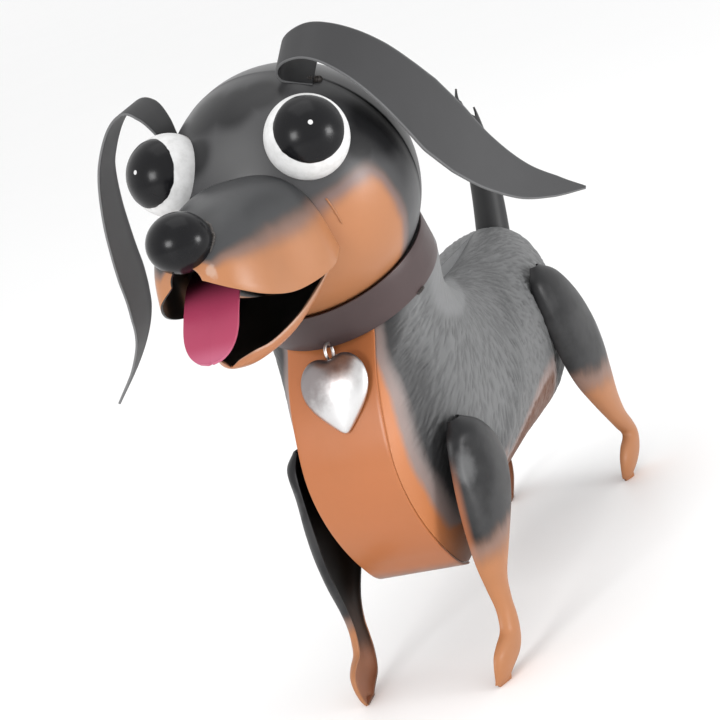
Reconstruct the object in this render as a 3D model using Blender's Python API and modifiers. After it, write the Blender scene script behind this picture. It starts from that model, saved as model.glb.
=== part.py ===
"""Garden ornament: a standing dachshund made of bent and pressed painted sheet steel.

The dog faces -Y and stands on z = 0. Left and right are the dog's own, so left is +X.
Sealed pressings (body halves, head bowls, eyes, nose, tail) are solid; everything bent from
one open sheet (muzzle, jaw, tongue, ears, collar, chest band, legs) has its true wall.
"""

import math

import bmesh
import bpy
from mathutils import Matrix, Vector

MM = 0.001

# Metal and fits
SHEET = 1.2 * MM          # wall of every bent or pressed sheet
GAP = 0.3 * MM            # clearance where one piece sits on another
FUR_DEPTH = 0.9 * MM      # depth of the fur strokes stamped into the body

# Head ball: two pressed bowls welded along a seam, nose-up a little
HEAD_RADIUS = 63.2 * MM
HEAD_CENTRE = Vector((0.0, 45.7, 260.65)) * MM
HEAD_PITCH = math.radians(11.2)
HEAD_SEAM_BACK = 7.1 * MM  # how far the seam lies behind the centre
HEAD_SEAM_LEAN = math.radians(27.5)  # how far its top leans forward
HEAD_SEGMENTS = 28
HEAD_RINGS = 14
FACE_UNIT = HEAD_RADIUS / 63.2  # one step of the face's tables, which grow with the ball

# Nose ball and eye domes, in the head's own directions (left, back, up)
NOSE_RADIUS = 14.5 * MM
NOSE_PLACE = Vector((0.0, -122.0, -11.4)) * FACE_UNIT
EYE_RADIUS = 20.3 * MM
EYE_PLACE = Vector((38.0, -48.3, 21.5)) * FACE_UNIT

# Collar: a flat band rolled round the neck, its axis leaning back as it goes down
COLLAR_RADIUS = 49.3 * MM
COLLAR_WIDTH = 20 * MM
COLLAR_PLAY = 1.65 * MM   # room between the collar's upper edge and the head's ball
COLLAR_LEAN = math.radians(20.7)
COLLAR_STEPS = 36
NECK_TUCK = 15 * MM       # how far the neck reaches up inside the collar, from its lower edge
# The drop from the head's centre to the collar's middle: its upper edge clears the ball
COLLAR_DROP = COLLAR_WIDTH / 2 + math.sqrt(
    HEAD_RADIUS ** 2 - (COLLAR_RADIUS - SHEET / 2 - COLLAR_PLAY) ** 2)

# Chest band: half its width, and how much its top bows forward under the collar
BAND_HALF_WIDTH = 24.6 * MM
BAND_BOW = 1 * MM

# Tag
RING_RADIUS = 4.2 * MM
RING_ASIDE = 2.5 * MM     # the tag hangs a little to the dog's left
RING_WIRE = 0.8 * MM
HEART_WIDTH = 37.5 * MM
HEART_HEIGHT = 39 * MM
HEART_FRONT = 8 * MM      # how far its face puffs out
HEART_BACK = 1.5 * MM     # and its back
HEART_TILT = math.radians(-20)
HEART_SWING = math.radians(-4)

# Tail: a tapered tube cut to a point
TAIL_ROOT = Vector((0.0, 271.0, 160.0)) * MM
TAIL_TIP = Vector((0.0, 293.4, 250.2)) * MM
TAIL_RADIUS = 10 * MM

# Ears: leaf-shaped strips, each bent its own way. First the bend, sideways and up from the
# root, then the strip's width against the share of its length. Millimetres.
EAR_ROOT_WAY = Vector((33.5, -7.7, 53.35))  # from the head's centre to the left ear's root
EAR_ROOT = HEAD_CENTRE + EAR_ROOT_WAY.normalized() * (HEAD_RADIUS + GAP)
LEFT_EAR_ACROSS = Vector((0.0, 0.846, 0.533))
LEFT_EAR_BEND = (
    (3, 1), (-4, 5), (-9.5, 9.5), (-8.5, 15.5), (-2, 20), (8, 20.8), (17, 15.5), (26, 4),
    (33, -11), (38, -28), (42, -45), (47.5, -65), (54, -85), (65, -103), (79, -112.5), (92, -118),
)
LEFT_EAR_WIDTHS = (
    (0, 18), (0.13, 20), (0.23, 26), (0.38, 37.5), (0.55, 48), (0.65, 45), (0.75, 35),
    (0.85, 24), (0.93, 13.5), (1, 1.2),
)
RIGHT_EAR_ACROSS = Vector((0.0, 0.995, 0.092))
RIGHT_EAR_BEND = (
    (-16, -20), (-18.5, -11), (-20, -3), (-23.5, 5), (-29.5, 9.8), (-37, 8.5), (-46, 2), (-55, -9),
    (-61, -20), (-66.5, -39), (-70, -60), (-73, -86), (-79, -105), (-92, -123), (-111.5, -142),
)
RIGHT_EAR_WIDTHS = (
    (0, 11), (0.06, 18), (0.13, 25), (0.25, 20), (0.35, 19), (0.5, 25), (0.62, 28),
    (0.72, 24), (0.8, 14), (0.9, 5), (1, 1.2),
)

# Tongue
TONGUE_HALF_WIDTH = 14.5 * MM
TONGUE_GROOVE = 1 * MM

# Mesh steps of the body: along it for each section below, and round each half
STATIONS_PER_SECTION = 2
BODY_COLUMNS = 13

# Side view of the body, from the neck to the rump: upper line, lower line (both y, z),
# half width and how full the section is above and below (2 is an ellipse). Millimetres.
BODY_SIDE = (
    ((128, 193), (15.5, 168), 45.6, 1.9, 1.6),
    ((147, 177.5), (5, 146), 45.6, 1.85, 1.4),
    ((163, 170), (0, 122), 45.8, 1.85, 1.35),
    ((176, 167), (6, 96), 45.6, 1.9, 1.35),
    ((188, 166.5), (22.5, 69), 45.2, 2.0, 1.4),
    ((198, 167), (43, 52.5), 44.8, 2.05, 1.55),
    ((209, 168), (80, 56), 44.0, 2.2, 1.8),
    ((221, 169.5), (120, 59.5), 43.0, 2.4, 2.0),
    ((234, 171.5), (160, 62), 41.6, 2.5, 2.1),
    ((247, 172.5), (203, 61), 38.6, 2.4, 2.1),
    ((261, 170.5), (243, 61), 34.2, 2.3, 2.1),
    ((274, 164), (266, 68), 27.5, 2.3, 2.1),
    ((284, 152), (279, 83), 19.0, 2.2, 2.0),
    ((289, 136), (287.5, 108), 8.0, 2.0, 2.0),
)
# The collar's middle (y, z) and radius that the table is written for. Its first sections go
# along when the collar moves or grows: the chest and spine this many of them in full.
BODY_SIDE_COLLAR = ((64.15, 211.82), 49.3)
COLLAR_FOLLOWERS = 3
BAND_STATIONS = 6         # the first sections of BODY_SIDE are closed in front by the band

COLOURS = {
    "fur_grey": (0.115, 0.125, 0.130, 1.0),
    "head_charcoal": (0.035, 0.036, 0.040, 1.0),
    "tan_orange": (0.55, 0.24, 0.09, 1.0),
    "collar_brown": (0.085, 0.060, 0.058, 1.0),
    "gloss_black": (0.006, 0.006, 0.007, 1.0),
    "eye_white": (0.82, 0.82, 0.82, 1.0),
    "tongue_pink": (0.62, 0.07, 0.19, 1.0),
    "silver": (0.62, 0.62, 0.63, 1.0),
    "ear_grey": (0.060, 0.060, 0.064, 1.0),
}


def clear_scene():
    """Removes whatever the file opened with."""
    for thing in list(bpy.data.objects):
        bpy.data.objects.remove(thing, do_unlink=True)


def make_collection(name):
    """Gives a new collection under the scene."""
    collection = bpy.data.collections.new(name)
    bpy.context.scene.collection.children.link(collection)
    return collection


def make_material(name, roughness, metallic):
    """Gives a Principled material in one of the named colours."""
    material = bpy.data.materials.new(name)
    material.use_nodes = True
    shader = material.node_tree.nodes["Principled BSDF"]
    shader.inputs["Base Color"].default_value = COLOURS[name]
    shader.inputs["Roughness"].default_value = roughness
    shader.inputs["Metallic"].default_value = metallic
    return material


def head_point(place):
    """Turns a place in the head's own directions into the dog's."""
    return HEAD_CENTRE + Matrix.Rotation(-HEAD_PITCH, 3, "X") @ Vector(place)


def smooth_curve(points, count):
    """Reads count points, evenly spread over the spans, from a smooth curve through points."""
    points = [Vector(p) for p in points]
    ends = [2 * points[0] - points[1]] + points + [2 * points[-1] - points[-2]]
    spans = len(points) - 1
    result = []
    for index in range(count):
        along = spans * index / (count - 1)
        span = min(int(along), spans - 1)
        t = along - span
        a, b, c, d = ends[span:span + 4]
        result.append(0.5 * ((2 * b) + (c - a) * t + (2 * a - 5 * b + 4 * c - d) * t ** 2
                             + (3 * b - a - 3 * c + d) * t ** 3))
    return result


def link_mesh(name, mesh, material, collection):
    """Puts a mesh in the scene as a smooth-shaded object with its material."""
    if material:
        mesh.materials.append(material)
    mesh.shade_smooth()
    mesh.set_sharp_from_angle(angle=math.radians(35))
    thing = bpy.data.objects.new(name, mesh)
    collection.objects.link(thing)
    return thing


def loft(name, rings, material, collection):
    """Joins closed rings of equal count into one closed body, capped at both ends."""
    bm = bmesh.new()
    rows = [[bm.verts.new(p) for p in ring] for ring in rings]
    count = len(rows[0])
    for row, following in zip(rows, rows[1:]):
        for index in range(count):
            after = (index + 1) % count
            bm.faces.new((row[index], row[after], following[after], following[index]))
    bm.faces.new(list(reversed(rows[0])))
    bm.faces.new(rows[-1])
    bmesh.ops.recalc_face_normals(bm, faces=bm.faces)
    mesh = bpy.data.meshes.new(name)
    bm.to_mesh(mesh)
    bm.free()
    return link_mesh(name, mesh, material, collection)


def sheet(name, rows, material, collection, wall=SHEET, side=0.0, flip=False):
    """Makes a bent sheet from rows of points; side -1, 0 or 1 says where its wall lies."""
    bm = bmesh.new()
    grid = [[bm.verts.new(p) for p in row] for row in rows]
    for row, following in zip(grid, grid[1:]):
        for index in range(len(row) - 1):
            corners = (row[index], row[index + 1], following[index + 1], following[index])
            bm.faces.new(tuple(reversed(corners)) if flip else corners)
    mesh = bpy.data.meshes.new(name)
    bm.to_mesh(mesh)
    bm.free()
    thing = link_mesh(name, mesh, material, collection)
    solidify = thing.modifiers.new("wall", "SOLIDIFY")
    solidify.thickness = wall
    solidify.offset = side
    return thing


def ball(name, radius, centre, segments, rings, material, collection):
    """Makes a ball."""
    bm = bmesh.new()
    bmesh.ops.create_uvsphere(bm, u_segments=segments, v_segments=rings, radius=radius)
    mesh = bpy.data.meshes.new(name)
    bm.to_mesh(mesh)
    bm.free()
    thing = link_mesh(name, mesh, material, collection)
    thing.location = centre
    return thing


def as_cutter(thing):
    """Marks an object as a guide that only cuts others."""
    thing.hide_render = True
    thing.display_type = "WIRE"
    return thing


def cut(thing, cutter):
    """Takes a cutter's space out of an object."""
    boolean = thing.modifiers.new("cut by " + cutter.name, "BOOLEAN")
    boolean.operation = "DIFFERENCE"
    boolean.solver = "EXACT"
    boolean.object = cutter


def neck_frame(drop):
    """Gives the centre of the neck at a drop below the head's centre, and its back direction."""
    axis = Vector((0.0, math.sin(COLLAR_LEAN), -math.cos(COLLAR_LEAN)))
    back = Vector((0.0, math.cos(COLLAR_LEAN), math.sin(COLLAR_LEAN)))
    return HEAD_CENTRE + axis * drop, axis, back


def follow_collar(index, upper, lower, half_width):
    """Moves one of BODY_SIDE's sections along with the collar, the farther ones less."""
    place, radius = BODY_SIDE_COLLAR
    centre, _, back = neck_frame(COLLAR_DROP)
    share = min(1.0, max(0.0, (2 * COLLAR_FOLLOWERS - index) / COLLAR_FOLLOWERS))
    shift = (centre - Vector((0, *place)) * MM) * share
    grow = COLLAR_RADIUS - radius * MM
    half_width += grow * max(0.0, 1 - index / COLLAR_FOLLOWERS)
    return upper + shift + back * grow * share, lower + shift - back * grow * share, half_width


def body_controls():
    """Lists the body's sections: upper point, lower point, half width, fullness twice."""
    neck_radius = COLLAR_RADIUS
    chord = math.sqrt(neck_radius ** 2 - BAND_HALF_WIDTH ** 2)
    lower_edge = COLLAR_DROP + COLLAR_WIDTH / 2
    sections = []
    for drop in (lower_edge - NECK_TUCK, lower_edge - NECK_TUCK / 2, lower_edge + 1 * MM):
        centre, _, back = neck_frame(drop)
        front = centre - back * (chord - SHEET - 2 * GAP)
        sections.append((centre + back * neck_radius, front, neck_radius, 2.0, 2.0))
    for index, (upper, lower, half_width, above, below) in enumerate(BODY_SIDE):
        moved = follow_collar(index, Vector((0, *upper)) * MM, Vector((0, *lower)) * MM,
                              half_width * MM)
        sections.append((*moved, above, below))
    return sections


def station_count():
    """Gives how many sections the body is lofted through."""
    return (len(body_controls()) - 1) * STATIONS_PER_SECTION + 1


def body_section(station, margin):
    """Gives one half section of the body, from the spine round to the belly."""
    controls = body_controls()
    count = len(controls)
    band_end = BAND_STATIONS + 2
    packed = [Vector((c[0].y, c[0].z, c[1].y)) for c in controls]
    packed_more = [Vector((c[1].z, c[2], c[3])) for c in controls]
    flats = [Vector((BAND_HALF_WIDTH if i <= band_end else 0.0, controls[i][4], 0))
             for i in range(count)]
    place = station / STATIONS_PER_SECTION

    def read(points):
        span = min(int(place), count - 2)
        ends = [2 * points[0] - points[1]] + points + [2 * points[-1] - points[-2]]
        t = place - span
        a, b, c, d = ends[span:span + 4]
        return 0.5 * ((2 * b) + (c - a) * t + (2 * a - 5 * b + 4 * c - d) * t ** 2
                      + (3 * b - a - 3 * c + d) * t ** 3)

    first, second, third = read(packed), read(packed_more), read(flats)
    upper = Vector((0, first.x, first.y))
    lower = Vector((0, first.z, second.x))
    half_width, above, below = second.y, second.z, third.y
    flat = min(max(third.x, 0.0), BAND_HALF_WIDTH)
    down = (lower - upper).normalized()
    upper = upper - down * margin
    lower = lower + down * margin
    half_width += margin
    flat += margin
    reach = (1 - (flat / half_width) ** below) ** (1 / below)
    end = (1 + reach) / 2
    turn = math.acos(max(-1.0, 1 - 2 * end))
    points = []
    for column in range(BODY_COLUMNS + 1):
        angle = turn * column / BODY_COLUMNS
        share = (1 - math.cos(angle)) / 2
        fullness = above if share < 0.5 else below
        wide = half_width * max(0.0, 1 - abs(2 * share - 1) ** fullness) ** (1 / fullness)
        points.append(upper.lerp(lower, share / end) + Vector((wide, 0, 0)))
    return points


def fur(point, along, around):
    """Gives how deep the stamped fur lies at a point of the body, strokes fanning back."""
    lines = math.sin(along * 50 + 2.2 * math.sin(around * 9))
    breaks = 0.5 + 0.5 * math.sin(around * 13 + along * 21)
    fade = min(1.0, max(0.0, (along - 0.22) / 0.1)) * min(1.0, (1 - along) / 0.08)
    fade *= min(1.0, around / 0.12) * min(1.0, (0.94 - around) / 0.14) if around < 0.94 else 0
    return FUR_DEPTH * fade * max(0.0, lines) * (0.35 + 0.65 * breaks)


def make_body(side, name, material, collection):
    """Makes one pressed half of the body; side is 1 for left, -1 for right."""
    rings = []
    for station in range(station_count()):
        along = station / (station_count() - 1)
        ring = []
        for column, point in enumerate(body_section(station, 0.0)):
            around = column / BODY_COLUMNS
            wide = max(point.x - fur(point, along, around), GAP / 2)
            if column == 0:
                wide = GAP / 2
            ring.append(Vector((side * wide, point.y, point.z)))
        ring.append(Vector((side * GAP / 2, ring[-1].y, ring[-1].z)))
        rings.append(ring)
    return loft(name, rings, material, collection)


def make_body_room(collection):
    """Makes the space that the body needs, for cutting what is welded to it."""
    rings = []
    for station in range(station_count()):
        half = body_section(station, GAP)
        left = [Vector((max(p.x, 0.0), p.y, p.z)) for p in half[1:]]
        right = [Vector((-p.x, p.y, p.z)) for p in reversed(left)]
        rings.append([Vector((0, half[0].y, half[0].z))] + left + right)
    return as_cutter(loft("body_room", rings, None, collection))


def make_band(material, collection):
    """Makes the chest band, which closes the body in front from the collar to the belly."""
    first = STATIONS_PER_SECTION + 1
    last = (BAND_STATIONS + 2) * STATIONS_PER_SECTION
    rows = []
    edge = [body_section(station, 0.0)[-1] for station in range(first, last + 1)]
    count = len(edge)
    for index, point in enumerate(edge):
        before = edge[max(index - 1, 0)]
        after = edge[min(index + 1, count - 1)]
        run = after - before
        out = Vector((0, run.z, -run.y)).normalized()
        bow = BAND_BOW * max(0.0, 1 - index / 7) ** 2
        row = []
        for step in range(-3, 4):
            share = step / 3
            lift = GAP + SHEET / 2 + bow * (1 - share ** 2)
            row.append(Vector((share * BAND_HALF_WIDTH, point.y, point.z)) + out * lift)
        rows.append(row)
    return sheet("chest_band", rows, material, collection)


def make_head(materials, collection, cutters):
    """Makes the head's two bowls, split along the seam."""
    tilt = Matrix.Rotation(-HEAD_PITCH, 4, "X")
    across_seam = Vector((0, math.cos(HEAD_SEAM_LEAN), math.sin(HEAD_SEAM_LEAN)))
    for name, keep_front in (("head_front", True), ("head_back", False)):
        bm = bmesh.new()
        bmesh.ops.create_uvsphere(bm, u_segments=HEAD_SEGMENTS, v_segments=HEAD_RINGS,
                                  radius=HEAD_RADIUS)
        edge = HEAD_SEAM_BACK + (-GAP / 2 if keep_front else GAP / 2)
        cut_faces = bmesh.ops.bisect_plane(
            bm, geom=bm.verts[:] + bm.edges[:] + bm.faces[:], plane_co=across_seam * edge,
            plane_no=across_seam, clear_outer=keep_front, clear_inner=not keep_front)
        rim = [e for e in cut_faces["geom_cut"] if isinstance(e, bmesh.types.BMEdge)]
        bmesh.ops.contextual_create(bm, geom=rim)
        bmesh.ops.recalc_face_normals(bm, faces=bm.faces)
        mesh = bpy.data.meshes.new(name)
        bm.to_mesh(mesh)
        bm.free()
        thing = link_mesh(name, mesh, materials["head_charcoal"], collection)
        thing.matrix_world = Matrix.Translation(HEAD_CENTRE) @ tilt
    room = ball("head_room", HEAD_RADIUS + GAP, HEAD_CENTRE, HEAD_SEGMENTS, HEAD_RINGS,
                None, cutters)
    room.rotation_euler = (-HEAD_PITCH, 0, 0)
    return as_cutter(room)


def make_muzzle(material, collection):
    """Makes the upper muzzle: a cone of sheet, open below, from the face to the nose."""
    top = smooth_curve([Vector(p) * FACE_UNIT for p in (
        (0, -54, 12.5), (0, -70, 10), (0, -88, 6), (0, -104, 0), (0, -118, -10),
        (0, -126, -22))], 11)
    lip = smooth_curve([Vector(p) * FACE_UNIT for p in (
        (36, -38, -31), (38, -56, -40), (31, -80, -45.5), (27.5, -103, -43.5),
        (19.5, -119, -37), (8, -125, -30))], 11)
    steps = 6
    rows = []
    for ridge, edge in zip(top, lip):
        row = []
        for step in range(-steps, steps + 1):
            angle = math.pi / 2 * abs(step) / steps
            wide = math.sin(angle) ** 0.72
            high = max(0.0, math.cos(angle)) ** 0.72
            point = head_point((0, edge.y + (ridge.y - edge.y) * high,
                                edge.z + (ridge.z - edge.z) * high))
            row.append(point + Vector((math.copysign(edge.x * wide, step), 0, 0)))
        rows.append(row)
    return sheet("muzzle", rows, material, collection, side=-1.0, flip=True)


def make_jaw(material, collection):
    """Makes the lower jaw: a shallow scoop of sheet under the mouth."""
    rim = smooth_curve([Vector(p) * FACE_UNIT for p in (
        (30, -43, -39.5), (28.5, -58, -47.5), (24, -73, -56.5), (15.5, -88, -64.5),
        (9, -100, -66.5))], 7)
    keel = smooth_curve([Vector(p) * FACE_UNIT for p in (
        (0, -42, -47), (0, -58, -59), (0, -74, -68.5), (0, -90, -73), (0, -104, -72))], 7)
    steps = 4
    rows = []
    for edge, low in zip(rim, keel):
        row = []
        for step in range(-steps, steps + 1):
            angle = math.pi / 2 * abs(step) / steps
            wide = math.sin(angle)
            deep = math.cos(angle)
            point = head_point((0, edge.y + (low.y - edge.y) * deep,
                                edge.z + (low.z - edge.z) * deep))
            row.append(point + Vector((math.copysign(edge.x * wide, step), 0, 0)))
        rows.append(row)
    return sheet("lower_jaw", rows, material, collection, side=-1.0)


def make_tongue(material, collection):
    """Makes the tongue: a bent strip with a round end and a slight groove."""
    path = smooth_curve([Vector(p) * FACE_UNIT for p in (
        (0, -62, -20), (0, -84, -24), (0, -99, -32), (0, -108, -43), (0, -115, -55),
        (0, -121.5, -67))], 14)
    steps = 2
    rows = []
    for index, point in enumerate(path):
        left = len(path) - 1 - index
        round_end = min(1.0, math.sqrt(max(0.0, 1 - (1 - left / 5) ** 2)) if left < 5 else 1.0)
        wide = TONGUE_HALF_WIDTH * max(round_end, 0.12)
        row = []
        for step in range(-steps, steps + 1):
            share = step / steps
            row.append(head_point(point) + Vector((wide * share, -TONGUE_GROOVE * abs(share), 0)))
        rows.append(row)
    return sheet("tongue", rows, material, collection)


def read_width(widths, share):
    """Reads a strip's width at a share of its length."""
    for (start, first), (end, last) in zip(widths, widths[1:]):
        if share <= end:
            blend = (share - start) / (end - start)
            return (first + (last - first) * blend) * MM
    return widths[-1][1] * MM


def ear_strip(name, root, across, bend, widths, material, collection):
    """Makes an ear: a leaf-shaped strip bent round lines that run along across."""
    across = across.normalized()
    rise = Vector((1, 0, 0)).cross(across)
    if rise.z < 0:
        rise.negate()
    centre = smooth_curve([Vector((a, b, 0)) * MM for a, b in bend], 2 * len(bend) - 3)
    lengths = [0.0]
    for before, after in zip(centre, centre[1:]):
        lengths.append(lengths[-1] + (after - before).length)
    rows = []
    for point, length in zip(centre, lengths):
        wide = read_width(widths, length / lengths[-1])
        place = root + Vector((1, 0, 0)) * point.x + rise * point.y
        rows.append([place + across * (wide * step / 2) for step in (-1, 0, 1)])
    return sheet(name, rows, material, collection)


def make_collar(name, margin, thicker, material, collection):
    """Makes the collar, a band turned round the neck's axis, or the room it needs."""
    mesh = bpy.data.meshes.new(name)
    outer = COLLAR_RADIUS + SHEET / 2 + thicker
    inner = COLLAR_RADIUS - SHEET / 2 - margin
    half = COLLAR_WIDTH / 2 + margin
    corners = [(outer, 0, half), (outer, 0, -half), (inner, 0, -half), (inner, 0, half)]
    mesh.from_pydata(corners, [(0, 1), (1, 2), (2, 3), (3, 0)], [])
    thing = link_mesh(name, mesh, material, collection)
    screw = thing.modifiers.new("turn", "SCREW")
    screw.angle = 2 * math.pi
    screw.steps = COLLAR_STEPS
    screw.render_steps = COLLAR_STEPS
    screw.use_merge_vertices = True
    screw.merge_threshold = 0.00001
    centre, _, _ = neck_frame(COLLAR_DROP)
    thing.location = centre
    thing.rotation_euler = (COLLAR_LEAN, 0, 0)
    return thing


def ring_centre():
    """Gives the centre of the tag ring, hooked through the collar's lower front edge."""
    centre, _, back = neck_frame(COLLAR_DROP + COLLAR_WIDTH / 2)
    edge = centre - back * (COLLAR_RADIUS + SHEET / 2)
    return edge + Vector((0, -0.7, -0.3)) * RING_RADIUS + Vector((RING_ASIDE, 0, 0))


def make_ring(name, wire, material, collection):
    """Makes the wire ring, or the room it needs."""
    curve = bpy.data.curves.new(name, "CURVE")
    curve.dimensions = "3D"
    curve.bevel_depth = wire
    curve.bevel_resolution = 1
    spline = curve.splines.new("POLY")
    count = 14
    spline.points.add(count - 1)
    for index in range(count):
        angle = 2 * math.pi * index / count
        spline.points[index].co = (0, RING_RADIUS * math.cos(angle),
                                   RING_RADIUS * math.sin(angle), 1)
    spline.use_cyclic_u = True
    guide = bpy.data.objects.new(name + "_wire", curve)
    collection.objects.link(guide)
    bpy.context.view_layer.update()
    graph = bpy.context.evaluated_depsgraph_get()
    mesh = bpy.data.meshes.new_from_object(guide.evaluated_get(graph))
    bpy.data.objects.remove(guide, do_unlink=True)
    thing = link_mesh(name, mesh, material, collection)
    thing.location = ring_centre()
    return thing


def heart_outline(angle):
    """Gives the heart's edge at an angle, in shares of half its width and of its height."""
    wide = math.sin(angle) ** 3 * 0.55 + math.sin(angle) * 0.45
    high = (13 * math.cos(angle) - 2.2 * math.cos(2 * angle) - math.cos(3 * angle)
            - 0.4 * math.cos(4 * angle)) / 16
    return wide, high


def make_heart(material, collection):
    """Makes the puffed heart, in front of the chest band, hanging from the ring."""
    around = 22
    levels = (0.0, 0.45, 0.75, 0.93, 1.0)
    edge = [heart_outline(2 * math.pi * i / around) for i in range(around)]
    highest = max(p[1] for p in edge)
    lowest = min(p[1] for p in edge)
    bm = bmesh.new()
    middle = Vector((0, 0, -0.42 * HEART_HEIGHT))

    def place(point, share, face):
        wide, high = point
        x = wide * HEART_WIDTH / 2
        z = (high - highest) / (highest - lowest) * HEART_HEIGHT
        spot = middle + (Vector((x, 0, z)) - middle) * share
        puff = (HEART_FRONT if face > 0 else HEART_BACK) * math.sqrt(max(0.0, 1 - share ** 2.2))
        return spot + Vector((0, -face * puff, 0))

    rim = [bm.verts.new(place(p, 1.0, 1)) for p in edge]
    for face in (1, -1):
        outer = rim
        for share in reversed(levels[1:-1]):
            inner = [bm.verts.new(place(p, share, face)) for p in edge]
            for index in range(around):
                after = (index + 1) % around
                bm.faces.new((outer[index], outer[after], inner[after], inner[index]))
            outer = inner
        tip = bm.verts.new(place(edge[0], 0.0, face))
        for index in range(around):
            bm.faces.new((outer[index], outer[(index + 1) % around], tip))
    bmesh.ops.recalc_face_normals(bm, faces=bm.faces)
    mesh = bpy.data.meshes.new("heart_tag")
    bm.to_mesh(mesh)
    bm.free()
    thing = link_mesh("heart_tag", mesh, material, collection)
    hook = ring_centre() + Vector((0, -0.7, -0.7)) * RING_RADIUS + Vector((0, 0, 1.6 * MM))
    thing.location = hook
    thing.rotation_euler = (HEART_TILT, HEART_SWING, 0)
    return thing


def make_tail(material, collection):
    """Makes the tail: a turned, tapering tube leaning back, cut to a point."""
    length = (TAIL_TIP - TAIL_ROOT).length
    profile = [(0.0, 0.0), (0.25, 0.985), (0.42, 0.90), (0.62, 0.76), (0.80, 0.52),
               (0.92, 0.28), (1.0, 0.08)]
    mesh = bpy.data.meshes.new("tail")
    points = [(0, 0, length)]
    for wide, high in profile[1:]:
        points.append((TAIL_RADIUS * wide, 0, length * high))
    points.append((TAIL_RADIUS * 1.02, 0, 0))
    points.append((0, 0, 0))
    mesh.from_pydata(points, [(i, i + 1) for i in range(len(points) - 1)], [])
    thing = link_mesh("tail", mesh, material, collection)
    screw = thing.modifiers.new("turn", "SCREW")
    screw.angle = 2 * math.pi
    screw.steps = 14
    screw.render_steps = 14
    screw.use_merge_vertices = True
    screw.merge_threshold = 0.00001
    thing.location = TAIL_ROOT
    thing.rotation_mode = "QUATERNION"
    thing.rotation_quaternion = (TAIL_TIP - TAIL_ROOT).to_track_quat("Z", "Y")
    return thing


# Each leg from its top to its toe: front edge (y, z), back edge (y, z), how far out both edges
# lie, and how far the shell bulges out from them. Millimetres.
FRONT_LEG = (
    ((33, 131), (45, 130), 43.0, 4.0),
    ((25, 123), (60, 121), 43.0, 10.5),
    ((20.5, 108), (75, 106), 42.0, 12.5),
    ((17.5, 92), (79, 91), 41.0, 13.0),
    ((16, 76), (71, 76), 40.4, 12.5),
    ((16.5, 60), (54, 60), 39.8, 10.5),
    ((19, 45), (40, 46), 39.8, 7.5),
    ((20.3, 34), (35.5, 34), 40.3, 6.2),
    ((18.5, 26), (35, 25), 40.4, 6.2),
    ((15.5, 22), (34, 17.5), 40.2, 6.3),
    ((8, 19.5), (31.5, 10.5), 40.0, 6.3),
    ((1.8, 16), (27, 6), 39.4, 6.0),
    ((-0.8, 10.5), (19, 3), 38.6, 5.0),
    ((-1.3, 5), (10, 0), 37.6, 3.6),
    ((-1.5, 2.2), (1.5, 0), 36.7, 1.6),
)
HIND_LEG = (
    ((210, 153), (221, 152), 40.0, 3.0),
    ((202, 144), (239, 142), 40.2, 8.0),
    ((202, 128), (255, 124), 40.5, 11.0),
    ((205.5, 111), (265, 104), 40.8, 12.0),
    ((210, 95), (268, 87), 41.0, 12.0),
    ((220, 76), (268, 69), 41.0, 10.5),
    ((236, 57), (269, 52), 41.0, 8.0),
    ((249, 43), (273, 39), 41.0, 6.5),
    ((259.5, 32), (279, 30), 41.0, 6.2),
    ((265, 26.5), (282, 23), 41.0, 6.2),
    ((264, 23.5), (282, 16), 40.8, 6.2),
    ((257, 20.5), (278, 9.5), 40.4, 6.2),
    ((252, 15.5), (272, 5), 39.8, 5.6),
    ((250.3, 9.5), (266, 2), 39.0, 4.6),
    ((250.8, 4.5), (259.5, 0), 38.0, 3.4),
    ((252, 2.2), (254.5, 0), 37.4, 1.6),
)


def make_leg(name, stations, side, material, collection):
    """Makes a leg: a pressed half shell, open towards the dog's middle, with its foot."""
    count = len(stations) + 3
    fronts = smooth_curve([(s[2], *s[0]) for s in stations], count)
    backs = smooth_curve([(s[2], *s[1]) for s in stations], count)
    bulges = smooth_curve([(s[3], 0, 0) for s in stations], count)
    columns = 6
    rows = []
    for front, back, bulge in zip(fronts, backs, bulges):
        row = []
        for column in range(columns + 1):
            angle = math.pi * column / columns
            share = (1 - math.cos(angle)) / 2
            point = front.lerp(back, share)
            point.x += bulge.x * math.sin(angle) ** 0.8 if 0 < column < columns else 0.0
            if back.z < 1.0 and column >= columns - 2:
                point.z = 0.0
            point.z = max(point.z, 0.0)
            row.append(Vector((side * point.x, point.y, point.z)) * MM)
        rows.append(row)
    return sheet(name, rows, material, collection, side=-1.0, flip=side > 0)


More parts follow.
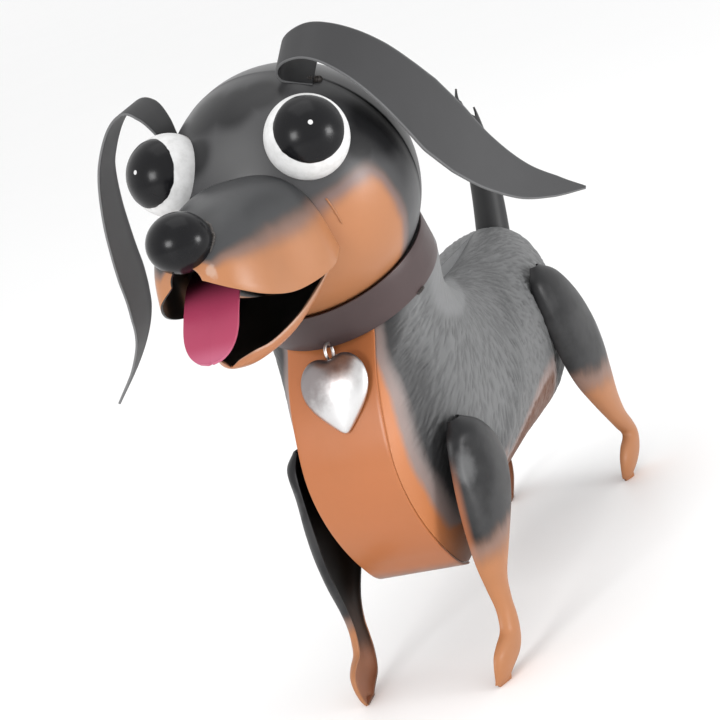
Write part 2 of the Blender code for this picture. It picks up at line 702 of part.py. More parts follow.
def build():
    """Builds the whole dog."""
    clear_scene()
    parts = make_collection("garden_dog_statue")
    cutters = make_collection("cutters")
    finishes = {
        "fur_grey": make_material("fur_grey", 0.42, 0.0),
        "head_charcoal": make_material("head_charcoal", 0.35, 0.0),
        "tan_orange": make_material("tan_orange", 0.38, 0.0),
        "collar_brown": make_material("collar_brown", 0.5, 0.0),
        "gloss_black": make_material("gloss_black", 0.12, 0.0),
        "eye_white": make_material("eye_white", 0.25, 0.0),
        "tongue_pink": make_material("tongue_pink", 0.35, 0.0),
        "silver": make_material("silver", 0.32, 1.0),
        "ear_grey": make_material("ear_grey", 0.55, 0.0),
    }

    head_room = make_head(finishes, parts, cutters)
    body_room = make_body_room(cutters)
    collar = make_collar("collar", 0.0, 0.0, finishes["collar_brown"], parts)
    collar_room = as_cutter(make_collar("collar_room", GAP, COLLAR_WIDTH, None, cutters))
    for side, name in ((1, "body_left"), (-1, "body_right")):
        body = make_body(side, name, finishes["fur_grey"], parts)
        cut(body, head_room)
        cut(body, collar_room)
    cut(make_band(finishes["tan_orange"], parts), collar_room)

    nose_place = head_point(NOSE_PLACE)
    ball("nose", NOSE_RADIUS, nose_place, 20, 10, finishes["gloss_black"], parts)
    nose_room = as_cutter(ball("nose_room", NOSE_RADIUS + GAP, nose_place, 20, 10, None, cutters))
    muzzle = make_muzzle(finishes["tan_orange"], parts)
    cut(muzzle, head_room)
    cut(muzzle, nose_room)
    cut(make_jaw(finishes["tan_orange"], parts), head_room)
    cut(make_tongue(finishes["tongue_pink"], parts), head_room)
    for side, name in ((1, "eye_left"), (-1, "eye_right")):
        place = head_point((side * EYE_PLACE.x, EYE_PLACE.y, EYE_PLACE.z))
        eye = ball(name, EYE_RADIUS, place, 20, 10, finishes["eye_white"], parts)
        cut(eye, head_room)

    right_root = Vector((-EAR_ROOT.x, EAR_ROOT.y, EAR_ROOT.z))
    cut(ear_strip("ear_left", EAR_ROOT, LEFT_EAR_ACROSS, LEFT_EAR_BEND, LEFT_EAR_WIDTHS,
                  finishes["ear_grey"], parts), head_room)
    cut(ear_strip("ear_right", right_root, RIGHT_EAR_ACROSS, RIGHT_EAR_BEND, RIGHT_EAR_WIDTHS,
                  finishes["ear_grey"], parts), head_room)

    make_ring("tag_ring", RING_WIRE, finishes["silver"], parts)
    ring_room = as_cutter(make_ring("ring_room", RING_WIRE + GAP, None, cutters))
    heart = make_heart(finishes["silver"], parts)
    cut(collar, ring_room)
    cut(heart, ring_room)
    cut(make_tail(finishes["ear_grey"], parts), body_room)

    for side, word in ((1, "left"), (-1, "right")):
        for stations, which in ((FRONT_LEG, "front"), (HIND_LEG, "hind")):
            leg = make_leg("leg_" + which + "_" + word, stations, side,
                           finishes["fur_grey"], parts)
            cut(leg, body_room)
    stand_on_origin(parts, cutters)


def stand_on_origin(parts, cutters):
    """Moves the dog so that the origin is under the middle of its whole box."""
    bpy.context.view_layer.update()
    graph = bpy.context.evaluated_depsgraph_get()
    corners = []
    for thing in parts.objects:
        shape = thing.evaluated_get(graph)
        corners += [thing.matrix_world @ point.co for point in shape.to_mesh().vertices]
        shape.to_mesh_clear()
    low = Vector(min(c[axis] for c in corners) for axis in range(3))
    high = Vector(max(c[axis] for c in corners) for axis in range(3))
    shift = Vector((-(low.x + high.x) / 2, -(low.y + high.y) / 2, -low.z))
    for thing in list(parts.objects) + list(cutters.objects):
        thing.location += shift
    bpy.context.view_layer.update()


build()
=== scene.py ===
"""Garden dog of bent and pressed sheet steel: its looks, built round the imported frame.

Tables of a form's places are in millimetres from the point between the two front toes, with x
to the dog's left, y to its tail and z up. Places on the head are in the head's own directions
(left, back, up), from the middle of its ball. Everything else is in metres, in the frame's axes.
"""

import logging
import math
from contextlib import contextmanager
from dataclasses import dataclass
from enum import Enum
from typing import Iterator, Optional, Sequence, Union

import bpy
import numpy as np
from mathutils import Matrix, Vector


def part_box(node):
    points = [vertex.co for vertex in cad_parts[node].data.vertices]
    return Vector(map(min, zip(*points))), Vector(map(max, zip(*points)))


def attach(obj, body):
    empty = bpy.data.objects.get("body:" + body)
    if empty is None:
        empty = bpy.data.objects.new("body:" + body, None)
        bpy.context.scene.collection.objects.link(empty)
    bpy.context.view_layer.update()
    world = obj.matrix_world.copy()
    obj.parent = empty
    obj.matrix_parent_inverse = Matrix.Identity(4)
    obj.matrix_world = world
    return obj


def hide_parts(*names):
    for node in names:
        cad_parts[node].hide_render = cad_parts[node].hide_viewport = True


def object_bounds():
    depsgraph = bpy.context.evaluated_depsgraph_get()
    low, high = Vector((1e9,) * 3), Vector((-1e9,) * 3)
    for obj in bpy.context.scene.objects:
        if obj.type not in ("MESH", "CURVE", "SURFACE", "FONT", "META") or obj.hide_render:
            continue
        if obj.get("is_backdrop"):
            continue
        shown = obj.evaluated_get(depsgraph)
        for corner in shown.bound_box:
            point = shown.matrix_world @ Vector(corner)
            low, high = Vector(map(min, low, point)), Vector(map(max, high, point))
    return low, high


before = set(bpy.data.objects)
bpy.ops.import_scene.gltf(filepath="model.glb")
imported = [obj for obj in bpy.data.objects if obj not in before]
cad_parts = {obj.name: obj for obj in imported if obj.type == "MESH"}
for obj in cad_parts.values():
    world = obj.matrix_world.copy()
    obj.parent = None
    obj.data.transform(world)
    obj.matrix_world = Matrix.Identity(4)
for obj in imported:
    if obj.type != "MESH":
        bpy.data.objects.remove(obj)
CAD_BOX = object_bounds()

LOG = logging.getLogger("garden_dog")

MM = 0.001
SHEET = 1.2 * MM
GAP = 0.3 * MM
HEAD_RADIUS = 63.2
HEAD_CENTRE = np.array([0.0, 45.7, 260.65])
HEAD_PITCH = math.radians(11.2)
NOSE_PLACE = (0.0, -122.0, -11.4)
LEFT = np.array([1.0, 0, 0])
DENSE = 400
FUR_SEED = 11

Places = Sequence[Sequence[float]]


class Side(Enum):
    """One of the dog's own sides."""

    LEFT = 1
    RIGHT = -1

    @property
    def word(self) -> str:
        """The side's name, as the nodes use it."""
        return self.name.lower()


def turned(places: np.ndarray, angle: float, axis: int) -> np.ndarray:
    """Turns places about one axis through the origin.

    Args:
        places: rows of x, y, z.
        angle: the turn in radians.
        axis: 0, 1 or 2 for x, y or z.

    Returns:
        The turned rows.
    """
    turn = np.array(Matrix.Rotation(angle, 3, "XYZ"[axis]))
    return np.asarray(places, float) @ turn.T


def on_head(places: Union[Places, np.ndarray]) -> np.ndarray:
    """Turns places in the head's own directions into places on the dog, in millimetres."""
    return turned(np.asarray(places, float), -HEAD_PITCH, 0) + HEAD_CENTRE


def find_origin() -> np.ndarray:
    """Finds where the point between the front toes lies in the frame, from the nose's box."""
    low, high = (np.array(corner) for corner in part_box("nose"))
    return (low + high) / 2 - on_head(NOSE_PLACE) * MM


ORIGIN = find_origin()


def in_frame(places: Union[Places, np.ndarray]) -> np.ndarray:
    """Turns places on the dog, in millimetres, into the frame's metres."""
    return np.asarray(places, float) * MM + ORIGIN


def smooth_curve(points: Places, stops: Union[int, np.ndarray]) -> np.ndarray:
    """Reads a smooth curve through points.

    Args:
        points: the points that the curve passes through.
        stops: how many places to read, evenly spread, or where, counted in points.

    Returns:
        One row for each place.
    """
    marks = np.asarray(points, float)
    ends = np.vstack([2 * marks[0] - marks[1], marks, 2 * marks[-1] - marks[-2]])
    last = len(marks) - 1
    place = np.linspace(0, last, stops) if isinstance(stops, int) else np.clip(stops, 0, last)
    span = np.minimum(place.astype(int), last - 1)
    t = (place - span)[:, None]
    a, b, c, d = (ends[span + step] for step in range(4))
    return 0.5 * (2 * b + (c - a) * t + (2 * a - 5 * b + 4 * c - d) * t ** 2
                  + (3 * b - a - 3 * c + d) * t ** 3)


def eased(share: np.ndarray) -> np.ndarray:
    """Turns an even rise from 0 to 1 into one that starts and ends softly."""
    return share * share * (3 - 2 * share)


def facing(grid: np.ndarray) -> np.ndarray:
    """Gives the unit normals of a grid of places, along rows times columns."""
    down = np.gradient(grid, axis=0)
    across = np.gradient(grid, axis=1)
    normal = np.cross(across, down)
    return normal / np.maximum(np.linalg.norm(normal, axis=2, keepdims=True), 1e-9)


class Bench:
    """The work that every piece goes through, with Blender's own tools."""

    @staticmethod
    def pick(thing: bpy.types.Object) -> None:
        """Selects one object alone and makes it active."""
        bpy.ops.object.select_all(action="DESELECT")
        thing.select_set(True)
        bpy.context.view_layer.objects.active = thing

    @staticmethod
    @contextmanager
    def editing(thing: bpy.types.Object, select: str = "SELECT") -> Iterator[None]:
        """Opens an object in edit mode, with all or nothing selected, and closes it again."""
        Bench.pick(thing)
        bpy.ops.object.mode_set(mode="EDIT")
        bpy.ops.mesh.select_mode(type="VERT")
        bpy.ops.mesh.select_all(action=select)
        yield
        bpy.ops.object.mode_set(mode="OBJECT")

    @staticmethod
    def grid(name: str, places: np.ndarray, flip: bool = False,
             press: Optional[np.ndarray] = None) -> bpy.types.Object:
        """Lays a flat grid and bends it to places.

        Args:
            name: the piece's name.
            places: rows times columns of x, y, z, in millimetres on the dog.
            flip: turns the sheet's face over.
            press: how deep each place is stamped, kept as the attribute "press".

        Returns:
            The bent sheet, with its map's u along the columns and v along the rows.
        """
        rows, columns = places.shape[:2]
        bpy.ops.object.select_all(action="DESELECT")
        bpy.ops.mesh.primitive_grid_add(x_subdivisions=columns - 1, y_subdivisions=rows - 1,
                                        size=2)
        thing = bpy.context.object
        thing.name = thing.data.name = name
        flat = np.empty(len(thing.data.vertices) * 3)
        thing.data.vertices.foreach_get("co", flat)
        flat = flat.reshape(-1, 3)
        column = np.rint((flat[:, 0] + 1) / 2 * (columns - 1)).astype(int)
        row = np.rint((flat[:, 1] + 1) / 2 * (rows - 1)).astype(int)
        bent = in_frame(places[row, column])
        thing.data.vertices.foreach_set("co", bent.ravel())
        if press is not None:
            kept = thing.data.attributes.new("press", "FLOAT", "POINT")
            kept.data.foreach_set("value", press[row, column].ravel())
        thing.data.update()
        if flip:
            with Bench.editing(thing):
                bpy.ops.mesh.flip_normals()
        return thing

    @staticmethod
    def ball(name: str, centre: np.ndarray, radius: float, segments: int,
             turn: Optional[Matrix] = None) -> bpy.types.Object:
        """Adds a ball in millimetres on the dog, its poles turned as asked."""
        bpy.ops.object.select_all(action="DESELECT")
        rotation = turn.to_euler() if turn else (0, 0, 0)
        bpy.ops.mesh.primitive_uv_sphere_add(segments=segments, ring_count=segments // 2,
                                             radius=radius * MM, location=in_frame(centre),
                                             rotation=rotation)
        thing = bpy.context.object
        thing.name = thing.data.name = name
        bpy.ops.object.transform_apply(location=True, rotation=True, scale=True)
        return thing

    @staticmethod
    def bead(name: str, points: Places, radius: float, material: bpy.types.Material,
             slot: str) -> bpy.types.Object:
        """Lays a lumpy weld bead along points.

        Args:
            name: the bead's name.
            points: its middle line, in millimetres on the dog.
            radius: its radius in millimetres.
            material: its finish.
            slot: the record's material slot.

        Returns:
            The bead, closed at both ends.
        """
        path = smooth_curve(points, 14 * (len(points) - 1) + 1)
        run = np.gradient(path, axis=0)
        run /= np.linalg.norm(run, axis=1, keepdims=True)
        aside = np.cross(run, [0.31, 0.52, 0.8])
        aside /= np.linalg.norm(aside, axis=1, keepdims=True)
        third = np.cross(run, aside)
        share = np.linspace(0, 1, len(path))
        end = np.sqrt(np.clip(1 - np.abs(2 * share - 1) ** 6, 0, 1))
        lumps = 1 + 0.22 * np.sin(np.arange(len(path)) * 1.7) + 0.12 * np.sin(
            np.arange(len(path)) * 0.6 + len(name))
        wide = radius * end * lumps
        angle = np.linspace(0, 2 * math.pi, 13)
        ring = (np.cos(angle)[None, :, None] * aside[:, None, :]
                + np.sin(angle)[None, :, None] * third[:, None, :])
        thing = Bench.grid(name, path[:, None, :] + ring * wide[:, None, None])
        thing.data.materials.append(material)
        Bench.weld(thing)
        Bench.face_out(thing)
        return Bench.finish(thing, slot, [], 60)

    @staticmethod
    def apply(thing: bpy.types.Object, kind: str, **settings: object) -> None:
        """Adds one modifier and applies it."""
        Bench.pick(thing)
        modifier = thing.modifiers.new(kind.lower(), kind)
        for name, value in settings.items():
            setattr(modifier, name, value)
        bpy.ops.object.modifier_apply(modifier=modifier.name)

    @staticmethod
    def wall(thing: bpy.types.Object, inward: bool = False, dark_rim: bool = False) -> None:
        """Gives a bent sheet its wall and rounds its cut edges.

        Args:
            thing: the sheet, with its inner finish second among its materials.
            inward: puts the whole wall behind the sheet's face, not half of it.
            dark_rim: gives the cut edge the inner finish.
        """
        inner = 1 if len(thing.data.materials) > 1 else 0
        Bench.apply(thing, "SOLIDIFY", thickness=SHEET, offset=-1.0 if inward else 0.0,
                    use_even_offset=False, use_quality_normals=True, material_offset=inner,
                    material_offset_rim=inner if dark_rim else 0)
        Bench.apply(thing, "BEVEL", width=0.3 * MM, segments=2, limit_method="ANGLE",
                    angle_limit=math.radians(55), use_clamp_overlap=True)

    @staticmethod
    def weld(thing: bpy.types.Object) -> None:
        """Joins the points that lie on one another."""
        with Bench.editing(thing):
            bpy.ops.mesh.remove_doubles(threshold=0.01 * MM)

    @staticmethod
    def face_out(thing: bpy.types.Object) -> None:
        """Turns the faces of a closed piece outwards."""
        with Bench.editing(thing):
            bpy.ops.mesh.normals_make_consistent(inside=False)

    @staticmethod
    def sheet(name: str, places: np.ndarray, finishes: Sequence[bpy.types.Material], slot: str,
              node: str, flip: bool = False, **wall: bool) -> bpy.types.Object:
        """Bends a sheet to places, paints it and gives it its wall.

        Args:
            name: the piece's name.
            places: rows times columns of x, y, z, in millimetres on the dog.
            finishes: its outer finish, then its inner one where that differs.
            slot: the record's material slot.
            node: the node that it replaces.
            flip: turns the sheet's face over.
            wall: how the wall lies, in the words of Bench.wall.

        Returns:
            The finished piece.
        """
        thing = Bench.grid(name, places, flip)
        for finish in finishes:
            thing.data.materials.append(finish)
        Bench.wall(thing, **wall)
        return Bench.finish(thing, slot, [node])

    @staticmethod
    def finish(thing: bpy.types.Object, slot: str, nodes: Sequence[str],
               angle: float = 40.0) -> bpy.types.Object:
        """Smooths a piece, puts it on the frame and hides the nodes that it replaces.

        Args:
            thing: the piece.
            slot: not used.
            nodes: the nodes that it replaces.
            angle: the sharpest edge in degrees that is still smoothed.

        Returns:
            The same piece.
        """
        Bench.pick(thing)
        bpy.ops.object.shade_smooth_by_angle(angle=math.radians(angle))
        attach(thing, "root")
        if nodes:
            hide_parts(*nodes)
        LOG.info("%s: %d faces", thing.name, len(thing.data.polygons))
        return thing


Value = Union["Wire", float, Sequence[float]]


class Wire:
    """An output of a shader node that takes part in sums."""

    def __init__(self, paint: "Paint", socket: bpy.types.NodeSocket) -> None:
        self.paint = paint
        self.socket = socket

    def _maths(self, operation: str, first: Value, second: Value = 0.0) -> "Wire":
        """Adds a Math node for two values."""
        return self.paint.node("ShaderNodeMath", {"operation": operation},
                               {0: first, 1: second})

    def __add__(self, other: Value) -> "Wire":
        """Adds another value."""
        return self._maths("ADD", self, other)

    def __radd__(self, other: Value) -> "Wire":
        """Adds itself to another value."""
        return self._maths("ADD", other, self)

    def __sub__(self, other: Value) -> "Wire":
        """Takes another value away."""
        return self._maths("SUBTRACT", self, other)

    def __rsub__(self, other: Value) -> "Wire":
        """Takes itself from another value."""
        return self._maths("SUBTRACT", other, self)

    def __mul__(self, other: Value) -> "Wire":
        """Multiplies by another value."""
        return self._maths("MULTIPLY", self, other)

    def __rmul__(self, other: Value) -> "Wire":
        """Multiplies another value."""
        return self._maths("MULTIPLY", other, self)

    def __truediv__(self, other: Value) -> "Wire":
        """Divides by another value."""
        return self._maths("DIVIDE", self, other)

    def __pow__(self, other: Value) -> "Wire":
        """Raises itself to a power."""
        return self._maths("POWER", self, other)

    def __abs__(self) -> "Wire":
        """Drops its sign."""
        return self._maths("ABSOLUTE", self)

    def most(self, other: Value) -> "Wire":
        """Gives the larger of two values."""
        return self._maths("MAXIMUM", self, other)

    def between(self, low: float, high: float) -> "Wire":
        """Rises smoothly from 0 at low to 1 at high; falls where low is the larger."""
        falls = low > high
        start, end = (high, low) if falls else (low, high)
        rise = self.paint.node("ShaderNodeMapRange", {"interpolation_type": "SMOOTHSTEP"},
                               {"Value": self, "From Min": start, "From Max": end})
        return 1 - rise if falls else rise


class Paint:
    """A material under construction."""

    def __init__(self, name: str, **constants: float) -> None:
        self.material = bpy.data.materials.new(name)
        self.material.use_nodes = True
        self.tree = self.material.node_tree
        self.shader = self.tree.nodes["Principled BSDF"]
        constants.setdefault("Specular_IOR_Level", 0.35)
        for key, value in constants.items():
            self.shader.inputs[key.replace("_", " ")].default_value = value

    def node(self, kind: str, settings: Optional[dict] = None,
             inputs: Optional[dict] = None, output: Union[int, str] = 0) -> Wire:
        """Adds one node.

        Args:
            kind: the node's type.
            settings: its own settings; stops are a ramp's places and colours.
            inputs: values or links for its sockets, by name or number.
            output: which output to give.

        Returns:
            That output, ready for sums.
        """
        made = self.tree.nodes.new(kind)
        for name, value in (settings or {}).items():
            if name == "stops":
                ramp = made.color_ramp.elements
                while len(ramp) < len(value):
                    ramp.new(0.5)
                for element, (place, colour) in zip(ramp, value):
                    element.position = place
                    element.color = colour
            else:
                setattr(made, name, value)
        for key, value in (inputs or {}).items():
            if isinstance(value, Wire):
                self.tree.links.new(value.socket, made.inputs[key])
            else:
                made.inputs[key].default_value = value
        return Wire(self, made.outputs[output])

    def object_place(self) -> Wire:
        """Gives the place on the object, in the frame's metres."""
        return self.node("ShaderNodeTexCoord", output="Object")

    def head_place(self) -> Wire:
        """Gives the place in the head's own directions, in radii of its ball."""
        size = HEAD_RADIUS * MM
        return self.node("ShaderNodeMapping", {"vector_type": "TEXTURE"},
                         {"Vector": self.object_place(),
                          "Location": tuple(in_frame(HEAD_CENTRE)),
                          "Rotation": (-HEAD_PITCH, 0, 0), "Scale": (size, size, size)})

    def aside(self) -> Wire:
        """Gives how far a place lies to the dog's left of its middle, in metres."""
        return self.split(self.object_place())[0] - float(ORIGIN[0])

    def on_map(self) -> tuple[Wire, Wire]:
        """Gives the place across and along the piece's own map."""
        across, along, _ = self.split(self.node("ShaderNodeTexCoord", output="UV"))
        return across, along

    def vector(self, operation: str, first: Wire, second: Sequence[float] = (0.0, 0.0, 0.0),
               output: Union[int, str] = 0) -> Wire:
        """Adds a Vector Math node for a vector and a fixed one."""
        return self.node("ShaderNodeVectorMath", {"operation": operation},
                         {0: first, 1: tuple(second)}, output)

    def split(self, vector: Wire) -> tuple[Wire, Wire, Wire]:
        """Gives a vector's three numbers."""
        first = self.node("ShaderNodeSeparateXYZ", inputs={"Vector": vector})
        outputs = first.socket.node.outputs
        return first, Wire(self, outputs[1]), Wire(self, outputs[2])

    def noise(self, scale: float, detail: float = 3.0, place: Optional[Wire] = None,
              stretch: Optional[Sequence[float]] = None) -> Wire:
        """Gives a soft noise from 0 to 1.

        Args:
            scale: how many patches fit in a metre.
            detail: how many finer layers it has.
            place: where it is read, or the place on the object.
            stretch: how much denser it is along each axis.

        Returns:
            The noise.
        """
        place = place or self.object_place()
        if stretch:
            place = self.vector("MULTIPLY", place, stretch)
        return self.node("ShaderNodeTexNoise", inputs={"Vector": place, "Scale": scale,
                                                       "Detail": detail, "Roughness": 0.55})

    def near(self, place: Wire, centre: Sequence[float], outer: float, inner: float) -> Wire:
        """Gives 1 within a distance of a place and fades to 0 at an outer distance."""
        return self.vector("DISTANCE", place, centre, "Value").between(outer, inner)

    def mix(self, share: Value, first: Value, second: Value, blend: str = "MIX") -> Wire:
        """Mixes two colours by a share of the second."""
        return self.node("ShaderNodeMix", {"data_type": "RGBA", "blend_type": blend},
                         {0: share, 6: first, 7: second}, output=2)

    def shade(self, colour: Wire, amount: Wire) -> Wire:
        """Makes a colour lighter or darker by a factor."""
        return self.node("ShaderNodeVectorMath", {"operation": "SCALE"},
                         {0: colour, "Scale": amount})

    def lay(self, colour: Optional[Wire] = None, roughness: Optional[Wire] = None,
            relief: Sequence[tuple[Wire, float]] = ()) -> bpy.types.Material:
        """Links the finished colour, roughness and relief to the shader.

        Args:
            colour: the base colour.
            roughness: the roughness.
            relief: heights, each with its depth in metres.

        Returns:
            The material.
        """
        if colour:
            self.tree.links.new(colour.socket, self.shader.inputs["Base Color"])
        if roughness:
            self.tree.links.new(roughness.socket, self.shader.inputs["Roughness"])
        normal: Optional[Wire] = None
        for height, depth in relief:
            inputs = {"Height": height, "Distance": depth, "Strength": 1.0}
            if normal:
                inputs["Normal"] = normal
            normal = self.node("ShaderNodeBump", inputs=inputs)
        if normal:
            self.tree.links.new(normal.socket, self.shader.inputs["Normal"])
        return self.material


Colour = tuple[float, float, float, float]

CHARCOAL: Colour = (0.048, 0.048, 0.050, 1.0)
INK: Colour = (0.008, 0.008, 0.009, 1.0)
COAT_GREY: Colour = (0.118, 0.120, 0.121, 1.0)
GROOVE_SHADE_GREY: Colour = (0.062, 0.063, 0.064, 1.0)
DARK_GREY: Colour = (0.028, 0.028, 0.029, 1.0)
PALE_GREY: Colour = (0.185, 0.187, 0.190, 1.0)
ORANGE: Colour = (0.375, 0.160, 0.070, 1.0)
BAND_ORANGE: Colour = (0.460, 0.165, 0.060, 1.0)
DEEP_ORANGE: Colour = (0.365, 0.118, 0.042, 1.0)
PINK_MIST: Colour = (0.265, 0.190, 0.170, 1.0)
PALE_RIM: Colour = (0.380, 0.215, 0.140, 1.0)
RUST_BROWN: Colour = (0.120, 0.050, 0.027, 1.0)
PLUM_BROWN: Colour = (0.066, 0.043, 0.043, 1.0)
SOOT: Colour = (0.006, 0.005, 0.004, 1.0)
TAIL_GREY: Colour = (0.024, 0.024, 0.025, 1.0)
WELD_GREY: Colour = (0.060, 0.052, 0.048, 1.0)
NOSE_BLACK: Colour = (0.003, 0.003, 0.004, 1.0)
BROW_HIGHLIGHT_GREY: Colour = (0.092, 0.092, 0.093, 1.0)
CROWN_HIGHLIGHT_GREY: Colour = (0.105, 0.105, 0.107, 1.0)
CHEEK_ORANGE: Colour = (0.385, 0.160, 0.070, 1.0)
CHEEK_MIST: Colour = (0.13, 0.115, 0.13, 1.0)
LEG_GREY: Colour = (0.029, 0.029, 0.030, 1.0)
LEG_SOOT: Colour = (0.005, 0.004, 0.003, 1.0)
LEG_BROWN: Colour = (0.085, 0.048, 0.034, 1.0)
FOOT_ORANGE: Colour = (0.34, 0.145, 0.078, 1.0)
SNOUT_GREY: Colour = (0.044, 0.045, 0.047, 1.0)
LIP_MIST: Colour = (0.16, 0.125, 0.125, 1.0)
WORN_PATCH: Colour = (0.50, 0.42, 0.37, 1.0)
JAW_ORANGE: Colour = (0.36, 0.135, 0.060, 1.0)
EAR_GREY: Colour = (0.036, 0.036, 0.038, 1.0)
EAR_TIP_GREY: Colour = (0.066, 0.066, 0.068, 1.0)
EAR_PALE_SHEEN_GREY: Colour = (0.120, 0.121, 0.124, 1.0)
TONGUE_PINK: Colour = (0.35, 0.043, 0.095, 1.0)
TONGUE_PALE: Colour = (0.43, 0.10, 0.17, 1.0)
TONGUE_SHADOW: Colour = (0.035, 0.004, 0.010, 1.0)
SILVER: Colour = (0.62, 0.61, 0.61, 1.0)
BRIGHT_SILVER: Colour = (0.76, 0.76, 0.76, 1.0)
REFLECTION_GREY_SILVER: Colour = (0.27, 0.235, 0.235, 1.0)
ENAMEL: Colour = (0.70, 0.70, 0.70, 1.0)
WORN_ENAMEL: Colour = (0.60, 0.60, 0.595, 1.0)
EYE_BASE_SHADE: Colour = (0.10, 0.065, 0.05, 1.0)
PUPIL_BLACK: Colour = (0.006, 0.006, 0.007, 1.0)
DOT_WHITE: Colour = (0.6, 0.6, 0.6, 1.0)
PAPER: Colour = (0.95, 0.95, 0.95, 1.0)
PAPER_SHADE: Colour = (0.93, 0.93, 0.93, 1.0)


@dataclass(frozen=True)
class Lacquer:
    """Sprayed paint on sheet steel: its gloss, its orange peel and how uneven it is."""

    roughness: float = 0.38
    spread: float = 0.10
    peel: float = 0.02 * MM
    ripple: float = 0.25 * MM

    def lay(self, paint: Paint, colour: Wire,
            relief: Sequence[tuple[Wire, float]] = ()) -> bpy.types.Material:
        """Finishes a paint with this gloss and unevenness over a colour."""
        patches = paint.noise(28, 4)
        cloud = paint.noise(9, 2)
        uneven = paint.shade(colour, (patches - 0.5) * 0.22 + (cloud - 0.5) * 0.16 + 1.0)
        rough = (paint.noise(120, 3) - 0.5) * self.spread + self.roughness
        layers = [(paint.noise(42, 1), self.ripple), (paint.noise(900, 2), self.peel)]
        return paint.lay(uneven, rough, [*layers, *relief])


